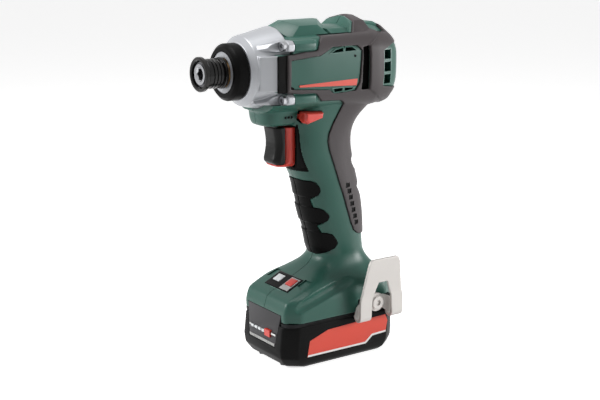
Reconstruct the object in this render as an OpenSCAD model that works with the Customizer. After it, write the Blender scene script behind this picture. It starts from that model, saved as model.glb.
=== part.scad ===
// Compact pistol-grip impact driver standing on its slide-on battery pack.
// X runs forward along the spindle, Y to the left and Z up; the origin is the middle of the pack's flat
// foot.

/* [Overall] */
// Height of the spindle axis above the foot
spindle_z = 183.5; // [181:0.5:187]

/* [Head] */
// Joint plane of the plastic head and the metal gear housing, ahead of the foot's middle
head_front = 36.5; // [36:0.5:38]
// Depth of the rounded tail behind the motor's rear bearing
tail_l = 5; // [4.5:0.5:7]
// Half width of the head
head_hw = 26.5; // [26.5:0.5:28]
// Rise of the head's crown above a round of its half width
crown_h = 2; // [1.5:0.5:3.5]
// Drop of the head's belly short of a round of its half width
belly_h = 1; // [0.5:0.5:1.5]
// Wall of the plastic housing
wall = 2.4; // [2.2:0.1:2.8]
// Thickness of the soft overmould
skin = 0.9; // [0.7:0.1:1.1]
// Length of the cheeks that reach forward over the metal
cheek_l = 11.5; // [9:0.5:13]
// Step from the head's side in to the gear housing's rear edge
cheek_t = 1.3; // [0.9:0.1:1.5]

/* [Handle and base] */
// Depth of the handle, front to back, at its middle
grip_d = 41; // [40:0.5:43]
// Half width of the handle
grip_hw = 16.5; // [16:0.5:17.5]
// Step of the base's sides out over the pack
base_lip = 0.4; // [0.2:0.1:0.8]
// Height of the base up to the foot of the handle
base_h = 28.7; // [28:0.1:29.5]

/* [Trigger and lever] */
// Travel of the trigger
trigger_travel = 6.5; // [4:0.5:7]
// Half width of the trigger's red frame
trigger_hw = 9.3; // [8.5:0.1:9.8]
// Height of the trigger
trigger_h = 25; // [23:0.5:26]
// Travel of the direction lever to each side
lever_travel = 2.5; // [1.5:0.5:3]
// Reach of the lever's heads outside the handle
lever_reach = 3.6; // [3:0.2:5]

/* [Metal nose] */
// Wall of the gear housing round the hammer
case_wall = 2.5; // [2.3:0.1:2.8]
// How much the gear housing's radius narrows towards its front edge
nose_taper = 4.6; // [3.8:0.2:5.2]
// Length of the visible metal behind the bumper ring
nose_l = 24.5; // [24:0.5:26]
// Radius of the rubber bumper ring
bumper_r = 16.8; // [16:0.2:17.4]
// Length of the bumper ring
bumper_l = 9; // [8:0.5:10]
// Radius of the four screw bosses
lug_r = 4.3; // [4:0.1:4.6]

/* [Bit holder] */
// Across the flats of the hexagonal bit socket
hex_af = 6.45; // [6.35:0.05:6.6]
// Depth of the bit socket
hex_depth = 25; // [20:1:27]
// Radius of the anvil's shaft
anvil_r = 6; // [5.8:0.1:6.2]
// Length of the bit sleeve
sleeve_l = 15.6; // [15:0.2:16.4]
// Radius of the sleeve's front flange
sleeve_flange_r = 10.15; // [9.8:0.1:10.6]
// Radius of the sleeve's grooved body
sleeve_r = 8.7; // [8.6:0.1:9.2]
// Pull of the sleeve that frees a bit
sleeve_travel = 3.5; // [2.5:0.5:3.5]

/* [Impact mechanism] */
// Clear gap between the hammer and the gear housing
case_air = 1.8; // [1.5:0.1:2]
// Length of the hammer's body
hammer_l = 12.5; // [12:0.5:13]
// Backward travel of the hammer
hammer_travel = 5; // [3:0.5:5.5]
// Radius of the spindle under the hammer
spindle_r = 8; // [7.6:0.1:8.2]
// Length of the interlocking hammer dogs and anvil lugs
dog_l = 4.8; // [4.5:0.1:5]
// Wire thickness of the hammer spring
hammer_wire = 2.2; // [2:0.1:2.4]

/* [Gear train] */
// Wall of the ring gear outside its tooth roots
ring_wall = 2.525; // [2.2:0.025:2.8]
// Length of the gear teeth
gear_l = 6; // [5.5:0.1:6.2]
// Radius of the planet pins
pin_r = 1.8; // [1.6:0.1:2]

/* [Motor] */
// Gap between the stator and the head's bore
stator_gap = 2.8; // [2.6:0.1:3.2]
// Length of the stator stack
stator_l = 19; // [18:0.5:20]
// Radius of the motor shaft
shaft_r = 2.5; // [2.3:0.05:2.6]
// Gap between the cooling fan and the head's bore
fan_gap = 4.3; // [3.5:0.1:5]

/* [Battery pack] */
// Cover over the middle cell up to the top of the pack's sides
cell_cover = 1.335; // [1.2:0.005:2]
// Gap between the outer cells and the pack's side walls
cell_side = 0.34; // [0.3:0.01:0.6]
// Room from a cell's end to the end of the pack
cell_end = 8.5; // [8:0.5:9.5]
// Wall of the pack's case
pack_wall = 1.5; // [1.3:0.1:1.6]
// Radius of a cell
cell_r = 9.2; // [9:0.05:9.25]
// Length of a cell
cell_l = 65; // [63:0.5:66]
// Press of the release plate
release_travel = 2; // [1:0.25:2]
// Half width of the release plate at its top
release_hw = 18.4; // [17.5:0.2:19]

/* [Belt hook] */
// Sheet thickness of the hook
hook_t = 1.8; // [1.5:0.1:2]
// Clear gap between the hook and the base
hook_gap = 5.6; // [5:0.2:7]
// Height of the hook
hook_h = 41; // [39:0.5:43]
// Half width of the hook at its foot
hook_hw = 16.6; // [16:0.2:18]

/* [Hidden] */
$fn = 64;

// overrun of a cut past the face it opens
over = 1;
// gap between pieces that move past each other, and round pieces set into windows
slack = 0.3;
// running clearance of a shaft in its bearing
run = 0.05;
// half of the dark seam between the two housing halves
seam = 0.12;
// points in one ring of the handle's skin
ring_n = 40;
// roundness of the cuts in the moulded shells
mesh_fn = 32;

// the cells set the pack's length and the pack the base; the head sets the mechanism inside it
cell_spread_share = 1.8;
cell_y = cell_spread_share * cell_r;
pack_hw = cell_y + cell_r + cell_side + pack_wall;
cell_low_z = pack_wall + cell_r + slack;
cell_lift = sqrt(max(0, 4 * (cell_r + slack / 3) * (cell_r + slack / 3) - cell_y * cell_y));
pack_h = cell_low_z + cell_lift + cell_r + cell_cover;
pack_front = cell_l / 2 + cell_end;
cell_shift = -0.5;
cell_x = -cell_l / 2 - cell_shift;
pack_back = cell_l / 2 + cell_end;
base_hl = pack_front;
base_hw = pack_hw + base_lip;
head_up = head_hw + crown_h;
head_down = head_hw - belly_h;
nose_rear_r = head_hw - cheek_t;
nose_front_r = nose_rear_r - nose_taper;
case_r = nose_rear_r - wall;
bore_r = case_r - case_wall;
hammer_r = bore_r - case_air;
stator_r = case_r - stator_gap;
rotor_r = stator_r / 2;
fan_r = case_r - fan_gap;

// heights that follow from the pack
base_z = pack_h + slack;
rise_share = 1.2;
rise = rise_share * (spindle_z - head_down - base_z);
trigger_top_share = 0.774;
trigger_top = base_z + trigger_top_share * rise;
trigger_low = trigger_top - trigger_h;

// clear gaps along the drive, from the nose back to the motor's rear bearing
sleeve_air = 1;
spring_room = 6.2;
drive_room = hammer_travel + spring_room;
end_play = 0.5;
flange_air = 0.6;
bearing_wall = 3.5;
coil_room = 5.7;
fan_room = 9.6;
bearing_air = 1.6;
// lips, insets and small steps of the drive's pieces
plate_lip = 0.5;
bearing_inset = 0.5;
bush_wall = 2.5;
bush_inset = 1;
ring_lip = 1.2;
air_gap = 0.5;
shoe_t = 1;
// stations along the spindle, worked from the joint plane forward
bumper_chamfer = bumper_l / 4;
nose_edge = head_front + nose_l - bumper_chamfer;
bumper_x = head_front + nose_l;
nose_face = bumper_x + bumper_l - bumper_chamfer / 4;
sleeve_x = nose_face + sleeve_air;
sleeve_end = sleeve_x + sleeve_l;
anvil_end = sleeve_end - sleeve_air;

// the hammer case, from the joint plane both ways
case_back = head_front - hammer_l - gear_l - drive_room;
lug_x = head_front + hammer_l / 2 + slack;
hammer_x = lug_x - hammer_l - slack;
front_wall_x = lug_x + dog_l + slack;

// the gear train, from the back of the case forward
gear_x = case_back + end_play;
flange_x = gear_x + gear_l + flange_air;
flange_l = 5;
flange_r = hammer_r - bearing_wall;
plate_l = 4.2;
plate_x = case_back - slack - plate_l;

// the motor, from the gear plate back
stator_front = plate_x - coil_room;
coil_over = 3.2;
stator_back = stator_front - stator_l;
board_x = stator_back - coil_over - slack;
board_t = 1.6;
fan_x = board_x - board_t - fan_room;
fan_l = 6.8;
bearing_l = 4;
rear_bearing_x = fan_x - bearing_l - bearing_air;
bearing_r = 2.6 * shaft_r;
front_bearing_r = 2.2 * shaft_r;
rear_wall_x = rear_bearing_x - slack;
head_back = tail_l - rear_wall_x;

// tooth counts, the ring being fixed in the case
sun_teeth = 9;
planet_teeth = 18;
ring_teeth = sun_teeth + 2 * planet_teeth;
pressure = 25;
addendum_share = 0.9;
dedendum_share = 1.2;
// the module that fits the ring's teeth inside its wall
gear_m = (bore_r - ring_wall) / (ring_teeth / 2 + dedendum_share);
planet_orbit = gear_m * (sun_teeth + planet_teeth) / 2;
backlash = gear_m / 7.5;

// outline helpers: head shares are of the head's front, back and half width; grip shares of the handle
function head_x(s) = s >= 0 ? s * head_front : s * head_back;
function head_pt(p) = [head_x(p[0]), spindle_z + p[1] * head_hw];
function grip_pt(p) = [p[0] * grip_d, base_z + p[1] * rise];

// one half of the head's section, from the bottom up: shares of the half width and of the height or depth
section_shares = [[0.4, -1], [0.74, -0.87], [0.94, -0.63], [1, -0.3], [1, 0.27], [0.96, 0.52],
                  [0.82, 0.74], [0.42, 1]];
// stations of the head from back to front: place, width, height and depth shares
head_shares = [[-1, 0.39, 0.34, 0.41], [-0.966, 0.58, 0.5, 0.6], [-0.9, 0.76, 0.66, 0.79],
               [-0.78, 0.89, 0.78, 0.93], [-0.545, 0.98, 0.9, 1], [-0.42, 1, 1, 1],
               [-0.24, 1, 1, 1], [-0.17, 1, 0.91, 1], [-0.03, 1, 0.91, 1], [0.13, 1, 0.985, 1],
               [0.42, 1, 0.985, 1], [0.76, 1, 0.945, 1], [1, 0.985, 0.9, 0.98], [1.34, 0.97, 0.87, 0.96]];
// levels of the base: rise, front, back, half width and squareness
base_shares = [[0, 1.012, -1, 1, 8], [0.182, 1.02, -1, 1, 8], [0.374, 0.97, -0.985, 0.985, 7],
               [0.47, 0.93, -0.965, 0.965, 6.8], [0.577, 0.79, -0.95, 0.93, 6.5],
               [0.733, 0.565, -0.9, 0.845, 5.5], [0.838, 0.4, -0.85, 0.755, 4.6],
               [1, 0.21, -0.77, 0.645, 3.2]];
// levels of the handle above the base
handle_shares = [[0.04271, 0.135, -0.715, 0.99, 2.5], [0.08824, 0.18, -0.702, 0.975, 2.3],
                 [0.1479, 0.228, -0.7, 0.975, 2.2], [0.2169, 0.297, -0.692, 0.985, 2.2],
                 [0.295, 0.365, -0.667, 1, 2.2], [0.3614, 0.41, -0.622, 1.01, 2.2],
                 [0.4254, 0.451, -0.57, 1.015, 2.2], [0.49, 0.535, -0.513, 1.02, 2.3],
                 [0.5546, 0.615, -0.455, 1.02, 2.5], [0.6186, 0.65, -0.415, 1.03, 2.7],
                 [0.6825, 0.663, -0.43, 1.05, 2.8], [0.7391, 0.69, -0.52, 1.09, 2.9],
                 [0.7951, 0.72, -0.71, 1.15, 3], [0.8585, 0.72, -0.95, 1.27, 3]];
// levels of the chin over the trigger, in shares of the rise, handle depth, cheek front and handle half
// width
chin_shares = [[0.782, 0.5, 0.948, 0.62, 3], [0.79, 0.48, 0.978, 0.72, 3], [0.82, 0.45, 0.991, 0.8, 3.2],
               [0.9, 0.4, 1, 0.9, 3.4]];

function bend(a, n) = sign(a) * pow(abs(a), 2 / n);
function ring(front, back, hw, n, z) = [for (i = [0:ring_n - 1]) let (t = 360 * i / ring_n)
    [(front + back) / 2 + (front - back) / 2 * bend(cos(t), n), hw * bend(sin(t), n), z]];
function ring_faces(count, n) = concat(
    [for (j = [0:count - 2]) for (i = [0:n - 1])
        [j * n + i, (j + 1) * n + i, (j + 1) * n + (i + 1) % n]],
    [for (j = [0:count - 2]) for (i = [0:n - 1])
        [j * n + i, (j + 1) * n + (i + 1) % n, j * n + (i + 1) % n]],
    [[for (i = [0:n - 1]) i]],
    [[for (i = [n - 1:-1:0]) (count - 1) * n + i]]);
module skin_over(rings) {
    polyhedron(points = [for (r = rings) each r], faces = ring_faces(len(rings), len(rings[0])),
        convexity = 6);
}

// the head's closed outer form, swollen by grow
module head_form(grow) {
    m = len(section_shares);
    rings = [for (h = head_shares)
        let (hw = h[1] * head_hw + grow, up = h[2] * head_up + grow, down = h[3] * head_down + grow,
             x = head_x(h[0]) - (h[0] == -1 ? grow : 0))
        concat([for (p = section_shares) [x, p[0] * hw, spindle_z + p[1] * (p[1] > 0 ? up : down)]],
               [for (i = [m - 1:-1:0]) let (p = section_shares[i])
                   [x, -p[0] * hw, spindle_z + p[1] * (p[1] > 0 ? up : down)]])];
    skin_over(rings);
}

// the handle and base, swollen by grow and lowered by drop
module grip_form(grow, drop = 0) {
    low = [for (r = base_shares) ring(r[1] * base_hl + grow, r[2] * base_hl - grow,
        r[3] * base_hw + grow, r[4],
                                      base_z + r[0] * base_h - drop)];
    high = [for (r = handle_shares) ring(r[1] * grip_d + grow, r[2] * grip_d - grow,
        r[3] * grip_hw + grow, r[4],
                                         base_z + base_h + r[0] * (rise - base_h) - drop)];
    skin_over(concat(low, high));
}

// the hood over the trigger
module chin_form(grow, lift = 0) {
    skin_over([for (r = chin_shares) ring(r[2] * (head_front + cheek_l) + grow, r[1] * grip_d - grow,
        r[3] * grip_hw + grow, r[4],
                                          base_z + r[0] * rise + lift)]);
}

// a straight prism across Y of an outline drawn in X and Z
module across(pts, y0, y1) {
    translate([0, y1, 0]) rotate([90, 0, 0]) linear_extrude(y1 - y0) polygon(pts);
}
module rod_x(x0, x1, r) {
    translate([x0, 0, spindle_z]) rotate([0, 90, 0]) cylinder(h = x1 - x0, r = r);
}
module tube_x(x0, x1, ro, ri) {
    difference() {
        rod_x(x0, x1, ro);
        rod_x(x0 - over, x1 + over, ri);
    }
}
module box(lo, hi) {
    translate(lo) cube(hi - lo);
}
module half(side) {
    far = head_back + head_front + base_hl;
    y0 = side > 0 ? seam : -far;
    box([-far, y0, -far], [far, y0 + far - seam, 2 * spindle_z]);
}
module mirror_y() {
    children();
    mirror([0, 1, 0]) children();
}

// metal lugs and plastic bosses of the four nose screws
lug_y = nose_rear_r - lug_r / 2.4;
lug_dz = 0.63 * nose_rear_r;
lug_flange = 5;
nose_screw_r = 1.5;
nose_screw_head_r = 2.7;
nose_screw_head_l = 2.6;
nose_screw_l = 20;
module at_lugs() {
    for (sy = [-1, 1]) for (sz = [-1, 1]) translate([head_front, sy * lug_y, spindle_z + sz * lug_dz])
        rotate([0, 90, 0]) children();
}

// screws that hold the housing halves together: handle shares of place, and depth of the head
screw_shares = [[0.93, 0.799, 0.45], [-0.11, 0.39, 0.62], [-0.25, 0.247, 0.62]];
under_trigger_shares = [0.19, 0.62];
screw_air = 0.5;
screw_boss_r = 3.8;
base_screw_shares = [[-0.8, 0.63, 0.62], [0.73, 0.342, 0.72]];
housing_screw_at = concat([[under_trigger_shares[0] * grip_d, trigger_low - screw_boss_r - screw_air,
                            under_trigger_shares[1] * grip_hw]],
                          [for (s = screw_shares) [s[0] * grip_d, base_z + s[1] * rise, s[2] * grip_hw]],
                          [for (s = base_screw_shares) [s[0] * base_hl, base_z + s[1] * base_h,
                              s[2] * base_hw]]);
screw_r = 1.5;
screw_head_r = 3;
screw_head_l = 2;
screw_bite = 9;

// the label field, the rear vent field and the rubber frame, in shares of the head
label_shares = [[1.082, -0.356], [1.074, 0.278], [0.51, 0.341], [0.263, 0.504], [-0.174, 0.504],
                [-0.248, 0.389], [-0.21, -0.33], [-0.154, -0.515], [0.238, -0.537], [0.334, -0.441]];
tail_shares = [[-0.59, 0.352], [-0.772, 0.474], [-1.2, 0.49], [-1.2, -0.555], [-0.844, -0.541],
    [-0.586, -0.47]];
groove_shares = [[-0.277, 0.463], [-0.364, 0.47], [-0.364, -0.5], [-0.277, -0.5]];
rubber_head_shares = [[1.4, -0.415], [1.4, 0.38], [1.04, 0.407], [0.567, 0.489], [0.452, 0.659],
                      [0.378, 0.741], [-0.089, 0.748], [-0.135, 1.2], [-0.4, 1.2], [-0.485, 0.852],
                      [-0.614, 0.744], [-0.73, 0.722], [-0.77, 1.2], [-1.3, 1.2], [-1.3, -1.2]];
rubber_grip_shares = [[-1.4, 0.7], [-0.9, 0.3], [-0.534, 0.301], [-0.444, 0.307], [-0.363, 0.324],
                      [-0.29, 0.365], [-0.171, 0.459], [-0.061, 0.537], [0.046, 0.619], [0.122, 0.671],
                      [0.156, 0.708], [0.139, 0.739], [0.071, 0.783], [0.002, 0.815], [-0.124, 0.86]];
rubber_chin_shares = [[0.044, -0.707], [0.447, -0.681], [0.562, -0.541], [1.02, -0.444]];
finger_shares = [[0.9, 0.579], [0.556, 0.559], [0.359, 0.546], [0.295, 0.538], [0.246, 0.519],
                 [0.232, 0.505], [0.251, 0.488], [0.327, 0.469], [0.322, 0.461], [0.288, 0.433],
                 [0.22, 0.43], [0.168, 0.424], [0.076, 0.394], [0.095, 0.38], [0.207, 0.355],
                 [0.188, 0.343], [0.149, 0.324], [0.076, 0.322], [0.012, 0.316], [-0.073, 0.279],
                 [-0.037, 0.26], [0.041, 0.246], [0.146, 0.226], [0.9, 0.226]];
tail_vent_shares = [[0.352, 0.133], [0.063, -0.155], [-0.226, -0.43]];
tail_vent_x_shares = [-0.625, -0.725];
// rounding of the tail vents' corners, and half height of the slots round the label
vent_round = 0.5;
slot_r = 1;

module tail_vents(side) {
    for (v = tail_vent_shares)
        hull() for (x = tail_vent_x_shares) for (z = v)
            translate([x * head_back, 0, spindle_z + z * head_hw]) rotate([side > 0 ? -90 : 90, 0, 0])
                cylinder(h = 2 * head_hw, r = vent_round, $fn = 12);
}
// the two vent slots above and the two below the label
label_vent_shares = [[[0.16, 0.437], [0.06, 0.437]], [[0.0, 0.437], [-0.1, 0.437]],
                     [[0.16, -0.475], [0.06, -0.475]], [[0.0, -0.475], [-0.09, -0.475]]];
module label_vents(side) {
    for (v = label_vent_shares)
        hull() for (p = v) translate([head_x(p[0]), 0, spindle_z + p[1] * head_hw])
            rotate([side > 0 ? -90 : 90, 0, 0]) cylinder(h = 2 * head_hw, r = slot_r, $fn = 12);
}

// trigger, in handle shares and its own sizes
trigger_x = 0.6 * grip_d;
trigger_frame_l = 7.6;
trigger_l = 7.8;
stem_r = 3;
switch_air = 2;
switch_x = trigger_x - trigger_travel - switch_air;
switch_l = 19;
switch_hw = grip_hw / 2;
stem_bite = 1;
stem_l = trigger_x - switch_x + stem_bite;
// side gap round the trigger, the switch ribs' and the switch's steps, and the dark face's step from the
// frame
trigger_gap = 0.5;
opening_gap = 2.8;
switch_rib_inset = 4;
switch_inset = 2;
face_step = 1.4;
trigger_front_r = 12;

// direction lever, in handle shares
lever_shares = [[0.634, 0.837], [0.3, 0.832], [0.315, 0.808], [0.588, 0.79], [0.66, 0.81]];
lever_pts = [for (p = lever_shares) grip_pt(p)];
lever_c = [0.5 * grip_d, base_z + 0.815 * rise];
lever_hw = 1.1 * grip_hw + lever_reach;
lever_bite = 1.1;
lever_depth = lever_reach + lever_travel + lever_bite;
lever_bar_hl = 4;
lever_bar_hh = 1.5;

// control panel on the sloping deck
deck_share = [0.6605, 0.661];
deck_at = [deck_share[0] * base_hl, 0, base_z + deck_share[1] * base_h];
deck_tilt = 26;
panel_l = 0.325 * base_hl;
panel_hw = 0.46 * base_hw;
panel_t = 2.2;
button_l = 0.45 * panel_l;
button_w = 0.52 * panel_hw;
button_y = 0.54 * panel_hw;
button_travel = 0.8;
button_proud = 0.5;
button_rise = button_travel + button_proud;
lens_l = 0.45 * panel_l;
lens_w = 0.56 * panel_hw;
lens_y = -0.54 * panel_hw;
button_x = -0.1 * panel_l;
lens_x = -0.1 * panel_l;
module on_deck() {
    translate(deck_at) rotate([0, deck_tilt, 0]) children();
}
module deck_box(l, w, t0, t1, x = 0, y = 0) {
    on_deck() translate([x - l / 2, y - w / 2, t0]) cube([l, w, t1 - t0]);
}

// belt hook and its pads on the base
hook_x = -0.555 * base_hl;
hook_pad_hl = 12.5;
hook_pad_lift = 1.4;
hook_pad_h = 6.4;
hook_pad_z0 = base_z + hook_pad_lift;
hook_pad_z1 = hook_pad_z0 + hook_pad_h;
hook_screw_z = hook_pad_z0 + hook_pad_h / 2;
hook_pad_y = base_hw + slack;
hook_pad_t = 6.4;
hook_hole_r = 1.65;
hook_screw_head_r = 4;
hook_screw_head_l = 2;

// battery shoe: ledges of the base that hold the pack's T rails
ledge_y = 0.62 * pack_hw;
ledge_t = 1.5;
tee_neck_hw = ledge_y - slack;
tee_lip = 2;
tee_t = 2.6;
tee_hw = ledge_y + tee_lip;
tee_z0 = base_z + ledge_t + slack;
tee_z1 = tee_z0 + tee_t;
shoe_z = tee_z1 + slack;

// everything the two housing halves are cut from
module housing_solid() {
    difference() {
        head_form(0);
        // ahead of the joint plane only the cheeks between the lugs are kept
        for (s = [-1, 1]) box([head_front, -2 * head_hw, spindle_z + (s > 0 ? 0.4 : -2) * head_hw],
                              [2 * head_front + cheek_l, 2 * head_hw,
                                  spindle_z + (s > 0 ? 2 : -0.415) * head_hw]);
        box([head_front + cheek_l, -2 * head_hw, 0], [3 * head_front, 2 * head_hw, 2 * spindle_z]);
    }
    grip_form(0);
    chin_form(0);
    at_lugs() translate([0, 0, -0.4 * head_front]) cylinder(h = 0.4 * head_front, r = lug_r, $fn = 8);
}

module housing_hollow() {
    // round bore of the head
    intersection() {
        rod_x(rear_wall_x, head_front + over, case_r, $fn = mesh_fn);
        head_form(-wall);
    }
    // the metal nose
    translate([head_front, 0, spindle_z]) rotate([0, 90, 0])
        cylinder(h = 2 * cheek_l, r1 = nose_rear_r + slack,
            r2 = nose_rear_r + slack - 2 * cheek_l * nose_slope, $fn = 48);
    at_lugs() translate([0, 0, 0]) cylinder(h = 2 * cheek_l, r = lug_r + slack, $fn = mesh_fn);
    // handle and base, open to the pack below
    difference() {
        grip_form(-wall, wall);
        // bearing and motor seats stay
        translate([0, 0, spindle_z - head_down + wall]) box([-2 * head_back, -2 * head_hw, 0],
            [-0.36 * head_back, 2 * head_hw, head_down]);
    }
    chin_form(-wall, wall);
}
nose_slope = (nose_rear_r - nose_front_r) / (nose_l - bumper_chamfer);

rib_t = 2;
module housing_ribs() {
    // stator seats
    for (x = [stator_back + rib_t, stator_front - 2 * rib_t])
        tube_x(x, x + rib_t, case_r + rib_t / 4, stator_r + slack / 2, $fn = 48);
    // rear bearing pocket
    intersection() {
        tube_x(rear_wall_x - rib_t, rear_bearing_x + bearing_l - bearing_inset, bearing_r + wall,
            bearing_r + run, $fn = 48);
        head_form(-wall / 2);
    }
    // switch ribs
    for (s = [-1, 1])
        box([switch_x - 0.7 * switch_l, s > 0 ? switch_hw + slack / 2 : -grip_hw,
            trigger_low + switch_rib_inset],
            [switch_x - 0.5 * switch_l, s > 0 ? grip_hw : -switch_hw - slack / 2,
                trigger_top - switch_rib_inset]);
    // ledges of the battery shoe
    for (s = [-1, 1])
        box([-0.93 * base_hl, s > 0 ? ledge_y : -base_hw + wall / 2, base_z],
            [0.9 * base_hl, s > 0 ? base_hw - wall / 2 : -ledge_y, base_z + ledge_t]);
    // screw bosses
    intersection() {
        union() {
            grip_form(-wall / 2);
            chin_form(-wall / 2);
        }
        for (p = housing_screw_at) translate([p[0], base_hw, p[1]]) rotate([90, 0, 0])
            cylinder(h = 2 * base_hw, r = screw_boss_r, $fn = 24);
    }
}

module housing_openings(side) {
    tail_vents(side);
    label_vents(side);
    // trigger opening
    box([switch_x + stem_bite, -trigger_hw - opening_gap, trigger_low - 2 * trigger_gap],
        [2 * grip_d, trigger_hw + opening_gap, trigger_top + slack]);
    // lever slot, wider than the lever all round
    across([for (p = lever_pts) lever_c + (p - lever_c) * 1.1], -2 * grip_hw, 2 * grip_hw);
    // control panel window
    deck_box(panel_l + slack, 2 * panel_hw + slack, -3 * panel_t, 3 * panel_t);
    // hook pad windows
    for (s = [-1, 1])
        box([hook_x - hook_pad_hl - slack, s > 0 ? hook_pad_y - hook_pad_t - slack : -2 * base_hw,
            hook_pad_z0 - slack],
            [hook_x + hook_pad_hl + slack, s > 0 ? 2 * base_hw : hook_pad_t + slack - hook_pad_y,
                hook_pad_z1 + slack]);
    // front mouth of the battery shoe
    box([0, -release_hw - slack, 0], [2 * base_hl, release_hw + slack, shoe_z]);
    // and its rail's way out
    box([0, -tee_hw - slack, tee_z0 - slack], [2 * base_hl, tee_hw + slack, shoe_z]);
    // screw holes, counterbored from the right side
    for (p = housing_screw_at) translate([p[0], 0, p[1]]) rotate([90, 0, 0]) {
        translate([0, 0, -screw_bite - over]) cylinder(h = p[2] + screw_bite + 2 * over,
            r = screw_r + slack, $fn = 16);
        translate([0, 0, p[2]]) cylinder(h = 2 * base_hw, r = screw_head_r + slack, $fn = 24);
    }
    // nose screw holes
    at_lugs() translate([0, 0, -nose_screw_l - over])
        cylinder(h = nose_screw_l + 2 * over, r = nose_screw_r + slack / 2, $fn = 16);
}

module housing(side) {
    intersection() {
        difference() {
            union() {
                difference() {
                    housing_solid();
                    housing_hollow();
                }
                housing_ribs();
            }
            housing_openings(side);
        }
        half(side);
    }
}
module housing_left() {
    color([0.1, 0.33, 0.27]) housing(1);
}
module housing_right() {
    color([0.1, 0.33, 0.27]) housing(-1);
}

rubber_pts = concat([for (p = rubber_head_shares) head_pt(p)], [for (p = rubber_grip_shares) grip_pt(p)],
                    [for (p = rubber_chin_shares) head_pt(p)]);
module overmould(side) {
    far = 2 * head_hw;
    difference() {
        intersection() {
            union() {
                head_form(skin);
                grip_form(skin);
            }
            across(rubber_pts, -far, far);
            half(side);
            box([-2 * head_back, -far, 0], [head_front + cheek_l, far, 2 * spindle_z]);
        }
        head_form(0);
        grip_form(0);
        across([for (p = label_shares) head_pt(p)], -far, far);
        across([for (p = tail_shares) head_pt(p)], -far, far);
        across([for (p = groove_shares) head_pt(p)], -far, far);
        // the lever and the lugs stay clear
        at_lugs() translate([0, 0, -0.42 * head_front])
            cylinder(h = head_front, r = lug_r + slack, $fn = mesh_fn);
        across([for (p = lever_pts) lever_c + (p - lever_c) * 1.1], -far, far);
    }
}
module overmould_left() {
    color([0.23, 0.21, 0.21]) overmould(1);
}
module overmould_right() {
    color([0.23, 0.21, 0.21]) overmould(-1);
}

finger_pts = [for (p = finger_shares) grip_pt(p)];
module finger_grip(side) {
    far = 2 * head_hw;
    difference() {
        intersection() {
            grip_form(skin);
            across(finger_pts, -far, far);
            half(side);
        }
        grip_form(0);
        box([switch_x, -trigger_hw - opening_gap, trigger_low - 2 * trigger_gap],
            [2 * grip_d, trigger_hw + opening_gap, trigger_top]);
    }
}
module finger_grip_left() {
    color([0.08, 0.08, 0.08]) finger_grip(1);
}
module finger_grip_right() {
    color([0.08, 0.08, 0.08]) finger_grip(-1);
}

// the die-cast case: cone, neck, inner bore and four lugs
bush_r = anvil_r + bush_wall;
neck_r = 0.79 * bumper_r;
module gear_housing() {
    color([0.75, 0.76, 0.77]) difference() {
        union() {
            rod_x(case_back, head_front + lug_flange, case_r - slack);
            translate([head_front, 0, spindle_z]) rotate([0, 90, 0])
                cylinder(h = nose_edge - head_front, r1 = nose_rear_r, r2 = nose_front_r);
            translate([nose_edge, 0, spindle_z]) rotate([0, 90, 0])
                cylinder(h = bumper_x - nose_edge, r1 = nose_front_r, r2 = bumper_r);
            rod_x(nose_edge, nose_face, neck_r);
            intersection() {
                at_lugs() cylinder(h = nose_l, r = lug_r);
                translate([head_front, 0, spindle_z]) rotate([0, 90, 0])
                    cylinder(h = nose_l - bumper_chamfer, r1 = lug_y + 3 * lug_r,
                        r2 = nose_front_r - lug_r / 3);
            }
        }
        rod_x(case_back - over, front_wall_x, bore_r);
        rod_x(case_back, nose_face + over, bush_r + run);
        // screw seats, open to the front
        at_lugs() {
            translate([0, 0, lug_flange]) cylinder(h = nose_l / 3, r = nose_screw_head_r + slack);
            translate([0, 0, -over]) cylinder(h = nose_l / 2, r = nose_screw_r + slack / 2);
        }
    }
}

module nose_ring() {
    color([0.06, 0.06, 0.06]) translate([bumper_x, 0, spindle_z]) rotate([0, 90, 0]) rotate_extrude()
        polygon([[neck_r + run, 0], [bumper_r, 0], [bumper_r, bumper_l - bumper_chamfer],
                 [bumper_r - bumper_chamfer, bumper_l], [neck_r - ring_lip, bumper_l],
                 [neck_r - ring_lip, nose_face - bumper_x + run],
                     [neck_r + run, nose_face - bumper_x + run]]);
}

module gear_housing_screws() {
    color([0.5, 0.5, 0.52]) at_lugs() difference() {
        union() {
            translate([0, 0, lug_flange]) cylinder(h = nose_screw_head_l, r = nose_screw_head_r);
            translate([0, 0, lug_flange - nose_screw_l])
                cylinder(h = nose_screw_l + nose_screw_head_l / 4, r = nose_screw_r);
        }
        translate([0, 0, lug_flange + nose_screw_head_l / 2])
            cylinder(h = nose_screw_head_l, r = nose_screw_head_r / 2, $fn = 6);
    }
}

module housing_screws() {
    color([0.2, 0.2, 0.21]) for (p = housing_screw_at) translate([p[0], 0, p[1]]) rotate([90, 0, 0])
        difference() {
        union() {
            translate([0, 0, p[2]]) cylinder(h = screw_head_l, r = screw_head_r);
            translate([0, 0, -screw_bite]) cylinder(h = p[2] + screw_bite + screw_head_l / 4, r = screw_r);
        }
        translate([0, 0, p[2] + screw_head_l / 2])
            cylinder(h = screw_head_l, r = screw_head_r / 2, $fn = 6);
    }
}

module anvil_bush() {
    color([0.72, 0.55, 0.3]) tube_x(front_wall_x + slack, nose_face - bush_inset, bush_r, anvil_r + run);
}

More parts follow.
